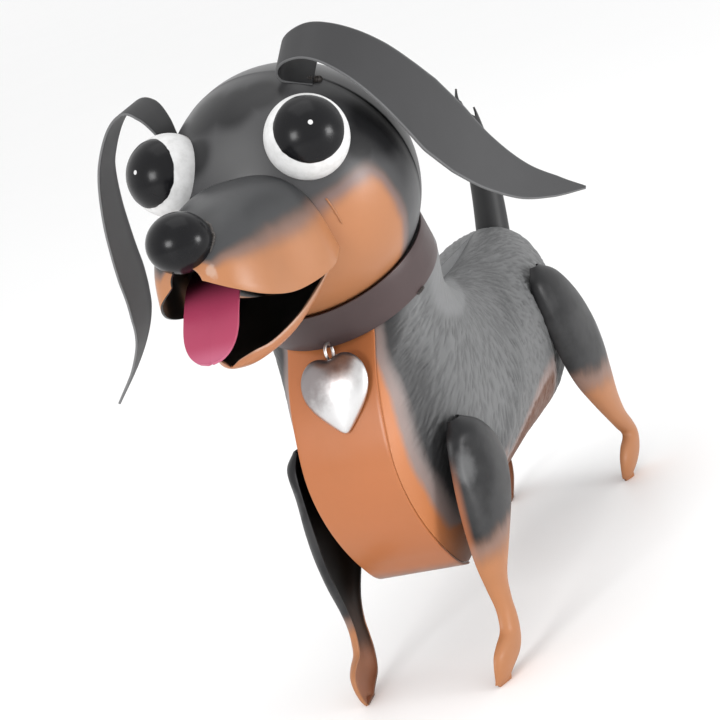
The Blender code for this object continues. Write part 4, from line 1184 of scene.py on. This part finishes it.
@dataclass
class Mouth:
    """The muzzle's cone, the lower jaw and the tongue."""

    ridge: Places = ((0, -54, 12.5), (0, -70, 10), (0, -88, 6), (0, -104, 0), (0, -118, -10),
                     (0, -126, -22))
    lip: Places = ((36, -38, -31), (38, -56, -40), (31, -80, -45.5), (27.5, -103, -43.5),
                   (19.5, -119, -37), (8, -125, -30))
    jaw_rim: Places = ((30, -43, -39.5), (28.5, -58, -47.5), (24, -73, -56.5),
                       (15.5, -88, -64.5), (10, -98, -66.8), (4.5, -103.5, -69),
                       (0.6, -105, -71.3))
    jaw_keel: Places = ((0, -42, -47), (0, -58, -59), (0, -74, -68.5), (0, -90, -73),
                        (0, -99, -73), (0, -103.5, -72.4), (0, -105.2, -71.6))
    tongue_path: Places = ((0, -62, -20), (0, -84, -24), (0, -99, -32), (0, -108, -43),
                           (0, -115, -55), (0, -121.5, -67))
    tongue_half: float = 14.5
    tongue_groove: float = 1.0

    @staticmethod
    def arch(ridge: np.ndarray, edge: np.ndarray, columns: int,
             power: Union[float, np.ndarray]) -> np.ndarray:
        """Bends a sheet over from one edge through a ridge to the other edge.

        Args:
            ridge: the middle line, in the head's own directions.
            edge: the left edge, with as many rows.
            columns: how many places each row has; it is odd.
            power: 1 bends it as an ellipse and less makes it squarer, at all or at each row.

        Returns:
            Rows times columns of places on the dog.
        """
        step = np.linspace(-1, 1, columns)
        angle = np.abs(step) * math.pi / 2
        power = np.broadcast_to(power, len(edge))[:, None]
        wide = np.sign(step) * np.sin(angle)[None, :] ** power
        high = np.clip(np.cos(angle), 0, 1)[None, :] ** power
        places = edge[:, None, :] + (ridge - edge)[:, None, :] * high[..., None]
        places[..., 0] = edge[:, None, 0] * wide
        return on_head(places)

    @staticmethod
    def from_ball(places: np.ndarray, rows: int) -> np.ndarray:
        """Starts each column of a dense sheet where it leaves the head's ball.

        Args:
            places: many rows times columns of places on the dog.
            rows: how many rows to keep.

        Returns:
            The sheet with that many rows.
        """
        away = np.linalg.norm(places - HEAD_CENTRE, axis=2) - HEAD_RADIUS
        index = np.arange(len(places))
        kept = np.empty((rows, places.shape[1], 3))
        for column in range(places.shape[1]):
            inside = np.nonzero(away[:, column] < 0)[0]
            start = 0.0
            if len(inside):
                last = min(inside[-1], len(places) - 2)
                start = last + away[last, column] / (away[last, column] - away[last + 1, column])
            stops = np.linspace(start, len(places) - 1, rows)
            for axis in range(3):
                kept[:, column, axis] = np.interp(stops, index, places[:, column, axis])
        return kept

    def build_muzzle(self, palette: Palette) -> bpy.types.Object:
        """Builds the muzzle."""
        power = 0.72 + 0.28 * np.clip((np.linspace(0, 1, DENSE) - 0.82) / 0.18, 0, 1)
        places = self.arch(smooth_curve(self.ridge, DENSE), smooth_curve(self.lip, DENSE), 61,
                           power)
        kept = self.from_ball(places, 60)
        self.weld_nose(kept, palette)
        return Bench.sheet("snout", kept, [palette.snout, palette.mouth], "tan_orange",
                           "muzzle", flip=True, inward=True, dark_rim=True)

    @staticmethod
    def weld_nose(places: np.ndarray, palette: Palette) -> None:
        """Lays the weld bead where the nose ball sits on the muzzle."""
        reach = Head.nose_radius + 0.4
        away = np.linalg.norm(places - on_head(NOSE_PLACE), axis=2) - reach
        line = []
        for column in range(6, places.shape[1] - 6, 2):
            near = np.nonzero(away[:, column] < 0)[0]
            if len(near) and near[0] > 0:
                line.append(places[near[0] - 1, column])
        Bench.bead("nose_weld", line, 1.0, palette.weld, "head_charcoal")

    def build_jaw(self, palette: Palette) -> bpy.types.Object:
        """Builds the lower jaw."""
        places = self.arch(smooth_curve(self.jaw_keel, DENSE), smooth_curve(self.jaw_rim, DENSE),
                           41, 1.0)
        return Bench.sheet("jaw_scoop", self.from_ball(places, 44), [palette.jaw, palette.mouth],
                           "tan_orange", "lower_jaw", inward=True)

    def build_tongue(self, palette: Palette) -> bpy.types.Object:
        """Builds the tongue, round at its end, with a slight groove."""
        path = smooth_curve(self.tongue_path, 70)
        left = np.linspace(len(self.tongue_path) * 2.4, 0, len(path))
        round_end = np.clip(1 - (1 - np.minimum(left / 4.2, 1)) ** 2.3, 0, 1) ** 0.45
        wide = self.tongue_half * np.maximum(round_end, 0.08)
        share = np.linspace(-1, 1, 25)
        places = np.repeat(on_head(path)[:, None, :], len(share), axis=1)
        places[..., 0] += wide[:, None] * share[None, :]
        places[..., 1] -= self.tongue_groove * np.abs(share[None, :]) ** 0.7
        return Bench.sheet("tongue_strip", places, [palette.tongue], "tongue_pink", "tongue")

    def build(self, palette: Palette) -> None:
        """Builds the mouth."""
        self.build_muzzle(palette)
        self.build_jaw(palette)
        self.build_tongue(palette)


@dataclass
class Ear:
    """A leaf-shaped strip bent round lines that run along across."""

    side: Side
    across: Sequence[float]
    bend: Places
    widths: Places
    root: Sequence[float] = (33.5, 38.0, 314.0)

    def build(self, palette: Palette) -> bpy.types.Object:
        """Builds the ear."""
        across = np.array(self.across, float)
        across /= np.linalg.norm(across)
        rise = np.cross([1.0, 0, 0], across)
        rise *= np.sign(rise[2])
        bend = smooth_curve(self.bend, 160)
        run = np.concatenate([[0], np.cumsum(np.linalg.norm(np.diff(bend, axis=0), axis=1))])
        share = run / run[-1]
        marks = np.array(self.widths, float)
        wide = np.interp(share, marks[:, 0], marks[:, 1])
        root = np.array(self.root) * (self.side.value, 1, 1)
        centre = root + np.outer(bend[:, 0], [1, 0, 0]) + np.outer(bend[:, 1], rise)
        step = np.linspace(-0.5, 0.5, 13)
        places = centre[:, None, :] + across * (wide[:, None] * step[None, :])[..., None]
        return Bench.sheet("ear_strip_" + self.side.word, places, [palette.ears[self.side]],
                           "ear_grey", "ear_" + self.side.word)


LEFT_EAR = Ear(
    Side.LEFT, (0.0, 0.846, 0.533),
    ((3, 1), (-4, 5), (-9.5, 9.5), (-8.5, 15.5), (-2, 20), (8, 20.8), (17, 15.5), (26, 4),
     (33, -11), (38, -28), (42, -45), (47.5, -65), (54, -85), (65, -103), (79, -112.5),
     (92, -118)),
    ((0, 18), (0.13, 20), (0.23, 26), (0.38, 37.5), (0.55, 48), (0.65, 45), (0.75, 35),
     (0.85, 24), (0.93, 13.5), (1, 1.2)))
RIGHT_EAR = Ear(
    Side.RIGHT, (0.0, 0.995, 0.092),
    ((-16, -20), (-18.5, -11), (-20, -3), (-23.5, 5), (-29.5, 9.8), (-37, 8.5), (-46, 2),
     (-55, -9), (-61, -20), (-66.5, -39), (-70, -60), (-73, -86), (-79, -105), (-92, -123),
     (-111.5, -142)),
    ((0, 11), (0.06, 18), (0.13, 25), (0.25, 20), (0.35, 19), (0.5, 25), (0.62, 28),
     (0.72, 24), (0.8, 14), (0.9, 5), (1, 1.2)))


@dataclass
class Collar:
    """The collar band with its tag ring and heart."""

    trunk: Trunk
    lap_start: float = math.radians(-70)
    lap: float = math.radians(16)
    lap_rise: float = 1.25
    weld_turn: Sequence[float] = (1.10, 1.22)
    ring_radius: float = 4.2
    ring_wire: float = 0.8
    ring_aside: float = 2.5
    heart_width: float = 37.5
    heart_height: float = 39.0
    heart_front: float = 8.0
    heart_back: float = 1.5
    heart_tilt: float = math.radians(-20)
    heart_swing: float = math.radians(-4)

    def build_band(self, palette: Palette) -> bpy.types.Object:
        """Builds the band, one end lapped over the other."""
        trunk = self.trunk
        centre, axis, back = trunk.neck_frame(trunk.collar_drop)
        angle = np.linspace(0, 2 * math.pi + self.lap, 220)
        over = np.clip((angle - 2 * math.pi + self.lap * 0.6) / (self.lap * 0.5), 0, 1)
        radius = trunk.collar_radius + eased(over) * self.lap_rise
        turn = angle + self.lap_start
        ring = (centre + np.outer(np.sin(turn) * radius, LEFT)
                - np.outer(np.cos(turn) * radius, back))
        step = np.linspace(-0.5, 0.5, 5)
        places = ring[:, None, :] + axis * (step * trunk.collar_width)[None, :, None]
        return Bench.sheet("collar_band", places, [palette.collar], "collar_brown", "collar")

    def ring_centre(self) -> np.ndarray:
        """Gives the tag ring's centre, hooked through the collar's lower front edge."""
        trunk = self.trunk
        centre, _, back = trunk.neck_frame(trunk.collar_drop + trunk.collar_width / 2)
        edge = centre - back * (trunk.collar_radius + SHEET / 2 / MM)
        return edge + np.array([self.ring_aside, -0.7 * self.ring_radius,
                                -0.3 * self.ring_radius])

    def build_ring(self, palette: Palette) -> bpy.types.Object:
        """Builds the wire ring."""
        bpy.ops.object.select_all(action="DESELECT")
        bpy.ops.mesh.primitive_torus_add(
            location=in_frame(self.ring_centre()), rotation=(0, math.pi / 2, 0),
            major_radius=self.ring_radius * MM, minor_radius=self.ring_wire * MM,
            major_segments=48, minor_segments=14)
        thing = bpy.context.object
        thing.name = thing.data.name = "tag_loop"
        bpy.ops.object.transform_apply(location=True, rotation=True, scale=True)
        thing.data.materials.append(palette.silver)
        return Bench.finish(thing, "silver", ["tag_ring"])

    def heart_rim(self, angle: np.ndarray) -> tuple[np.ndarray, np.ndarray]:
        """Gives the heart's edge at angles, in half widths and from 0 down to -1 in height."""
        wide = np.sin(angle) ** 3 * 0.55 + np.sin(angle) * 0.45
        high = (13 * np.cos(angle) - 2.2 * np.cos(2 * angle) - np.cos(3 * angle)
                - 0.4 * np.cos(4 * angle)) / 16
        return wide, (high - high.max()) / (high.max() - high.min())

    def build_heart(self, palette: Palette) -> bpy.types.Object:
        """Builds the puffed heart, its two faces meeting in a thin rim."""
        angle = np.linspace(0, 2 * math.pi, 121)
        flat = np.zeros(len(angle))
        wide, high = self.heart_rim(angle)
        rim = np.stack([wide * self.heart_width / 2, flat, high * self.heart_height], 1)
        middle = np.array([0, 0, -0.42 * self.heart_height])
        dome = np.stack([np.sin(angle) * self.heart_width * 0.40, flat,
                         np.cos(angle) * self.heart_height * 0.40], 1) + middle
        steps = 26
        share = np.concatenate([np.sin(np.linspace(0, math.pi / 2, steps)),
                                np.sin(np.linspace(math.pi / 2, 0, steps))[1:]])
        puff = np.sqrt(np.clip(1 - share ** 2.2, 0, 1))
        puff[:steps] *= -self.heart_front
        puff[steps:] *= self.heart_back
        pointed = (share ** 3)[:, None, None]
        ring = dome[None] * (1 - pointed) + rim[None] * pointed
        places = middle + (ring - middle) * share[:, None, None]
        places[..., 1] += puff[:, None]
        places = turned(turned(places, self.heart_tilt, 0), self.heart_swing, 1)
        hook = self.ring_centre() + np.array([0, -0.7, -0.7]) * self.ring_radius
        thing = Bench.grid("tag_heart", places + hook + np.array([0, 0, 1.6]))
        thing.data.materials.append(palette.heart)
        Bench.weld(thing)
        with Bench.editing(thing):
            bpy.ops.mesh.dissolve_degenerate()
            bpy.ops.mesh.select_all(action="SELECT")
            bpy.ops.mesh.normals_make_consistent(inside=False)
        return Bench.finish(thing, "silver", ["heart_tag"])

    def build(self, palette: Palette) -> None:
        """Builds the collar and its tag."""
        self.build_band(palette)
        trunk = self.trunk
        centre, _, back = trunk.neck_frame(trunk.collar_drop + trunk.collar_width / 2)
        turn = np.linspace(*self.weld_turn, 4)
        edge = centre + (np.outer(np.sin(turn), LEFT) - np.outer(np.cos(turn), back)) * (
            trunk.collar_radius + 0.6)
        Bench.bead("collar_weld", edge, 0.8, palette.weld, "collar_brown")
        self.build_ring(palette)
        self.build_heart(palette)


@dataclass
class Tail:
    """A tapered tube, leaning back, its torn top high on one side with two small prongs."""

    root: Sequence[float] = (0.0, 271.0, 160.0)
    tip: Sequence[float] = (0.0, 293.4, 250.2)
    radius: float = 10.0
    sag: float = 3.0
    profile: Places = ((1.02, 0.0), (1.0, 0.08), (0.93, 0.28), (0.84, 0.52), (0.68, 0.76),
                       (0.50, 0.90), (0.20, 1.0))
    high_side: float = 3.75
    prongs: Places = ((0.39, 0.07, 0.7), (4.9, 0.03, 0.3))

    def build(self, palette: Palette) -> bpy.types.Object:
        """Builds the tail."""
        root, tip = np.array(self.root), np.array(self.tip)
        length = np.linalg.norm(tip - root)
        up = (tip - root) / length
        back = np.cross(up, LEFT)
        profile = smooth_curve(self.profile, 60)
        angle = np.linspace(0, 2 * math.pi, 73)
        top = 0.79 + 0.21 * ((1 + np.cos(angle - self.high_side)) / 2) ** 2.5
        for place, rise, wide in self.prongs:
            gap = np.abs((angle - place + math.pi) % (2 * math.pi) - math.pi)
            top += rise * np.clip(1 - (gap / wide) ** 1.4, 0, 1)
        high = np.linspace(0, 1, 48)[:, None] * top[None, :]
        reach = np.interp(high, profile[:, 1], profile[:, 0]) * self.radius
        spread = np.outer(np.cos(angle), LEFT) + np.outer(np.sin(angle), back)
        places = root + high[..., None] * length * up + spread[None] * reach[..., None]
        places += LEFT * (self.sag * np.sin(math.pi * np.clip(high, 0, 1)))[..., None]
        thing = Bench.grid("tail_tube", places)
        thing.data.materials.append(palette.tail)
        Bench.weld(thing)
        Bench.face_out(thing)
        Bench.wall(thing, inward=True)
        return Bench.finish(thing, "ear_grey", ["tail"])


@dataclass
class Leg:
    """A pressed half shell, open towards the dog's middle, with its foot."""

    pair: str
    dent: float
    stations: Places

    def build(self, side: Side, palette: Palette) -> bpy.types.Object:
        """Builds the leg on one side."""
        read = smooth_curve(self.stations, 110)
        angle = np.linspace(0, math.pi, 41)
        share = (1 - np.cos(angle)) / 2
        front = np.stack([read[:, 4], read[:, 0], read[:, 1]], 1)
        back = np.stack([read[:, 4], read[:, 2], read[:, 3]], 1)
        places = front[:, None, :] + (back - front)[:, None, :] * share[None, :, None]
        places[..., 0] += read[:, 5][:, None] * np.clip(np.sin(angle), 0, 1)[None, :] ** 0.8
        along = np.linspace(0, 1, len(read))[:, None]
        around = np.linspace(0, 1, len(angle))[None, :]
        places[..., 0] -= self.dent * np.exp(-((around - 0.28) / 0.13) ** 2
                                             - ((along - 0.145) / 0.05) ** 2)
        sole = (read[:, 3] < 1.0)[:, None] & (around >= 0.66)
        places[..., 2] = np.where(sole, 0.0, np.maximum(places[..., 2], 0.0))
        places[..., 0] *= side.value
        return Bench.sheet(f"{self.pair}_leg_{side.word}", places,
                           [palette.legs[self.pair], palette.leg_inside], "fur_grey",
                           f"leg_{self.pair}_{side.word}", flip=side is Side.LEFT, inward=True)


FRONT_LEG = Leg("front", 2.4, (
    (33, 131, 45, 130, 43.0, 4.0), (25, 123, 60, 121, 43.0, 10.5),
    (20.5, 108, 75, 106, 42.0, 12.5), (17.5, 92, 79, 91, 41.0, 13.0),
    (16, 76, 71, 76, 40.4, 12.5), (16.5, 60, 54, 60, 39.8, 10.5), (19, 45, 40, 46, 39.8, 7.5),
    (20.3, 34, 35.5, 34, 40.3, 6.2), (18.5, 26, 35, 25, 40.4, 6.2),
    (15.5, 22, 34, 17.5, 40.2, 6.3), (8, 19.5, 31.5, 10.5, 40.0, 6.3),
    (1.8, 16, 27, 6, 39.4, 6.0), (-0.8, 10.5, 19, 3, 38.6, 5.0), (-1.3, 5, 10, 0, 37.6, 3.6),
    (-1.5, 2.2, 1.5, 0, 36.7, 1.6)))
HIND_LEG = Leg("hind", 0.0, (
    (210, 153, 221, 152, 40.0, 3.0), (202, 144, 239, 142, 40.2, 8.0),
    (202, 128, 255, 124, 40.5, 11.0), (205.5, 111, 265, 104, 40.8, 12.0),
    (210, 95, 268, 87, 41.0, 12.0), (220, 76, 268, 69, 41.0, 10.5),
    (236, 57, 269, 52, 41.0, 8.0), (249, 43, 273, 39, 41.0, 6.5),
    (259.5, 32, 279, 30, 41.0, 6.2), (265, 26.5, 282, 23, 41.0, 6.2),
    (264, 23.5, 282, 16, 40.8, 6.2), (257, 20.5, 278, 9.5, 40.4, 6.2),
    (252, 15.5, 272, 5, 39.8, 5.6), (250.3, 9.5, 266, 2, 39.0, 4.6),
    (250.8, 4.5, 259.5, 0, 38.0, 3.4), (252, 2.2, 254.5, 0, 37.4, 1.6)))


@dataclass
class Studio:
    """The camera, the pale floor and the soft lights."""

    target: Sequence[float] = (-2.23, 55.71, 165.57)
    right: Sequence[float] = (0.8759, 0.3548, -0.3269)
    up: Sequence[float] = (0.1968, 0.3559, 0.9135)
    behind: Sequence[float] = (0.4405, -0.8645, 0.2419)
    distance: float = 1073.46
    lens: float = 105.35

    def place_camera(self) -> None:
        """Puts the camera where the photograph was taken from."""
        at = in_frame(np.array(self.target) + np.array(self.behind) * self.distance)
        bpy.ops.object.camera_add()
        camera = bpy.context.object
        camera.name = "photo_camera"
        axes = Matrix((self.right, self.up, self.behind)).transposed().normalized().to_4x4()
        camera.matrix_world = Matrix.Translation(Vector(at)) @ axes
        camera.data.lens = self.lens
        camera.data.sensor_width = 36
        camera.data.clip_start = 0.01
        bpy.context.scene.camera = camera

    def direction(self, right: float, up: float, behind: float) -> np.ndarray:
        """Gives a direction said from the camera, as a unit vector of the frame."""
        way = (np.array(self.right) * right + np.array(self.up) * up
               + np.array(self.behind) * behind)
        return way / np.linalg.norm(way)

    def add_light(self, name: str, way: np.ndarray, size: float, energy: float,
                  distance: float = 1.6) -> None:
        """Hangs a soft square light that looks at the dog.

        Args:
            name: the light's name.
            way: where it hangs, as seen from the dog.
            size: its width in metres.
            energy: its power in watts.
            distance: how far from the dog it hangs.
        """
        target = Vector(in_frame(self.target))
        at = target + Vector(way) * distance
        bpy.ops.object.light_add(type="AREA", location=at)
        light = bpy.context.object
        light.name = name
        light.rotation_euler = (at - target).to_track_quat("Z", "Y").to_euler()
        light.data.shape = "SQUARE"
        light.data.size = size
        light.data.energy = energy

    def light(self) -> None:
        """Lights the dog from both sides of the camera and from above."""
        self.add_light("softbox_left", self.direction(-0.57, -0.05, 0.81), 0.46, 11)
        self.add_light("softbox_right", self.direction(0.86, 0.18, 0.48), 0.48, 14)
        self.add_light("softbox_top", np.array([0.1, 0.1, 1.0]), 1.2, 4)
        world = bpy.data.worlds.new("studio")
        bpy.context.scene.world = world
        world.use_nodes = True
        background = world.node_tree.nodes["Background"]
        background.inputs["Color"].default_value = (1.0, 1.0, 1.0, 1.0)
        background.inputs["Strength"].default_value = 1.0
        bpy.context.scene.view_settings.view_transform = "Standard"

    def lay_floor(self) -> None:
        """Lays the pale floor."""
        bpy.ops.object.select_all(action="DESELECT")
        bpy.ops.mesh.primitive_plane_add(size=80, location=(0, 0, 0))
        floor = bpy.context.object
        floor.name = "floor"
        paint = Paint("floor_paper")
        colour = paint.mix(paint.noise(3, 2), PAPER, PAPER_SHADE)
        floor.data.materials.append(paint.lay(colour))
        floor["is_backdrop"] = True

    def build(self) -> None:
        """Sets up the studio."""
        self.place_camera()
        self.light()
        self.lay_floor()


def write_sizes() -> None:
    """Works out the frame's box and the finished model's box as plain numbers."""
    boxes = {"cad": CAD_BOX, "visual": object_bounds()}
    plain = {name: [[float(n) for n in corner] for corner in box] for name, box in boxes.items()}


def main() -> None:
    """Builds the studio and then the dog, part by part."""
    logging.basicConfig(level=logging.INFO, format="%(name)s %(message)s")
    Studio().build()
    palette = Palette()
    trunk = Trunk()
    trunk.build(palette)
    Head().build(palette)
    Mouth().build(palette)
    for ear in (LEFT_EAR, RIGHT_EAR):
        ear.build(palette)
    Collar(trunk).build(palette)
    Tail().build(palette)
    for leg in (FRONT_LEG, HIND_LEG):
        for side in Side:
            leg.build(side, palette)
    write_sizes()


if __name__ == "__main__":
    main()
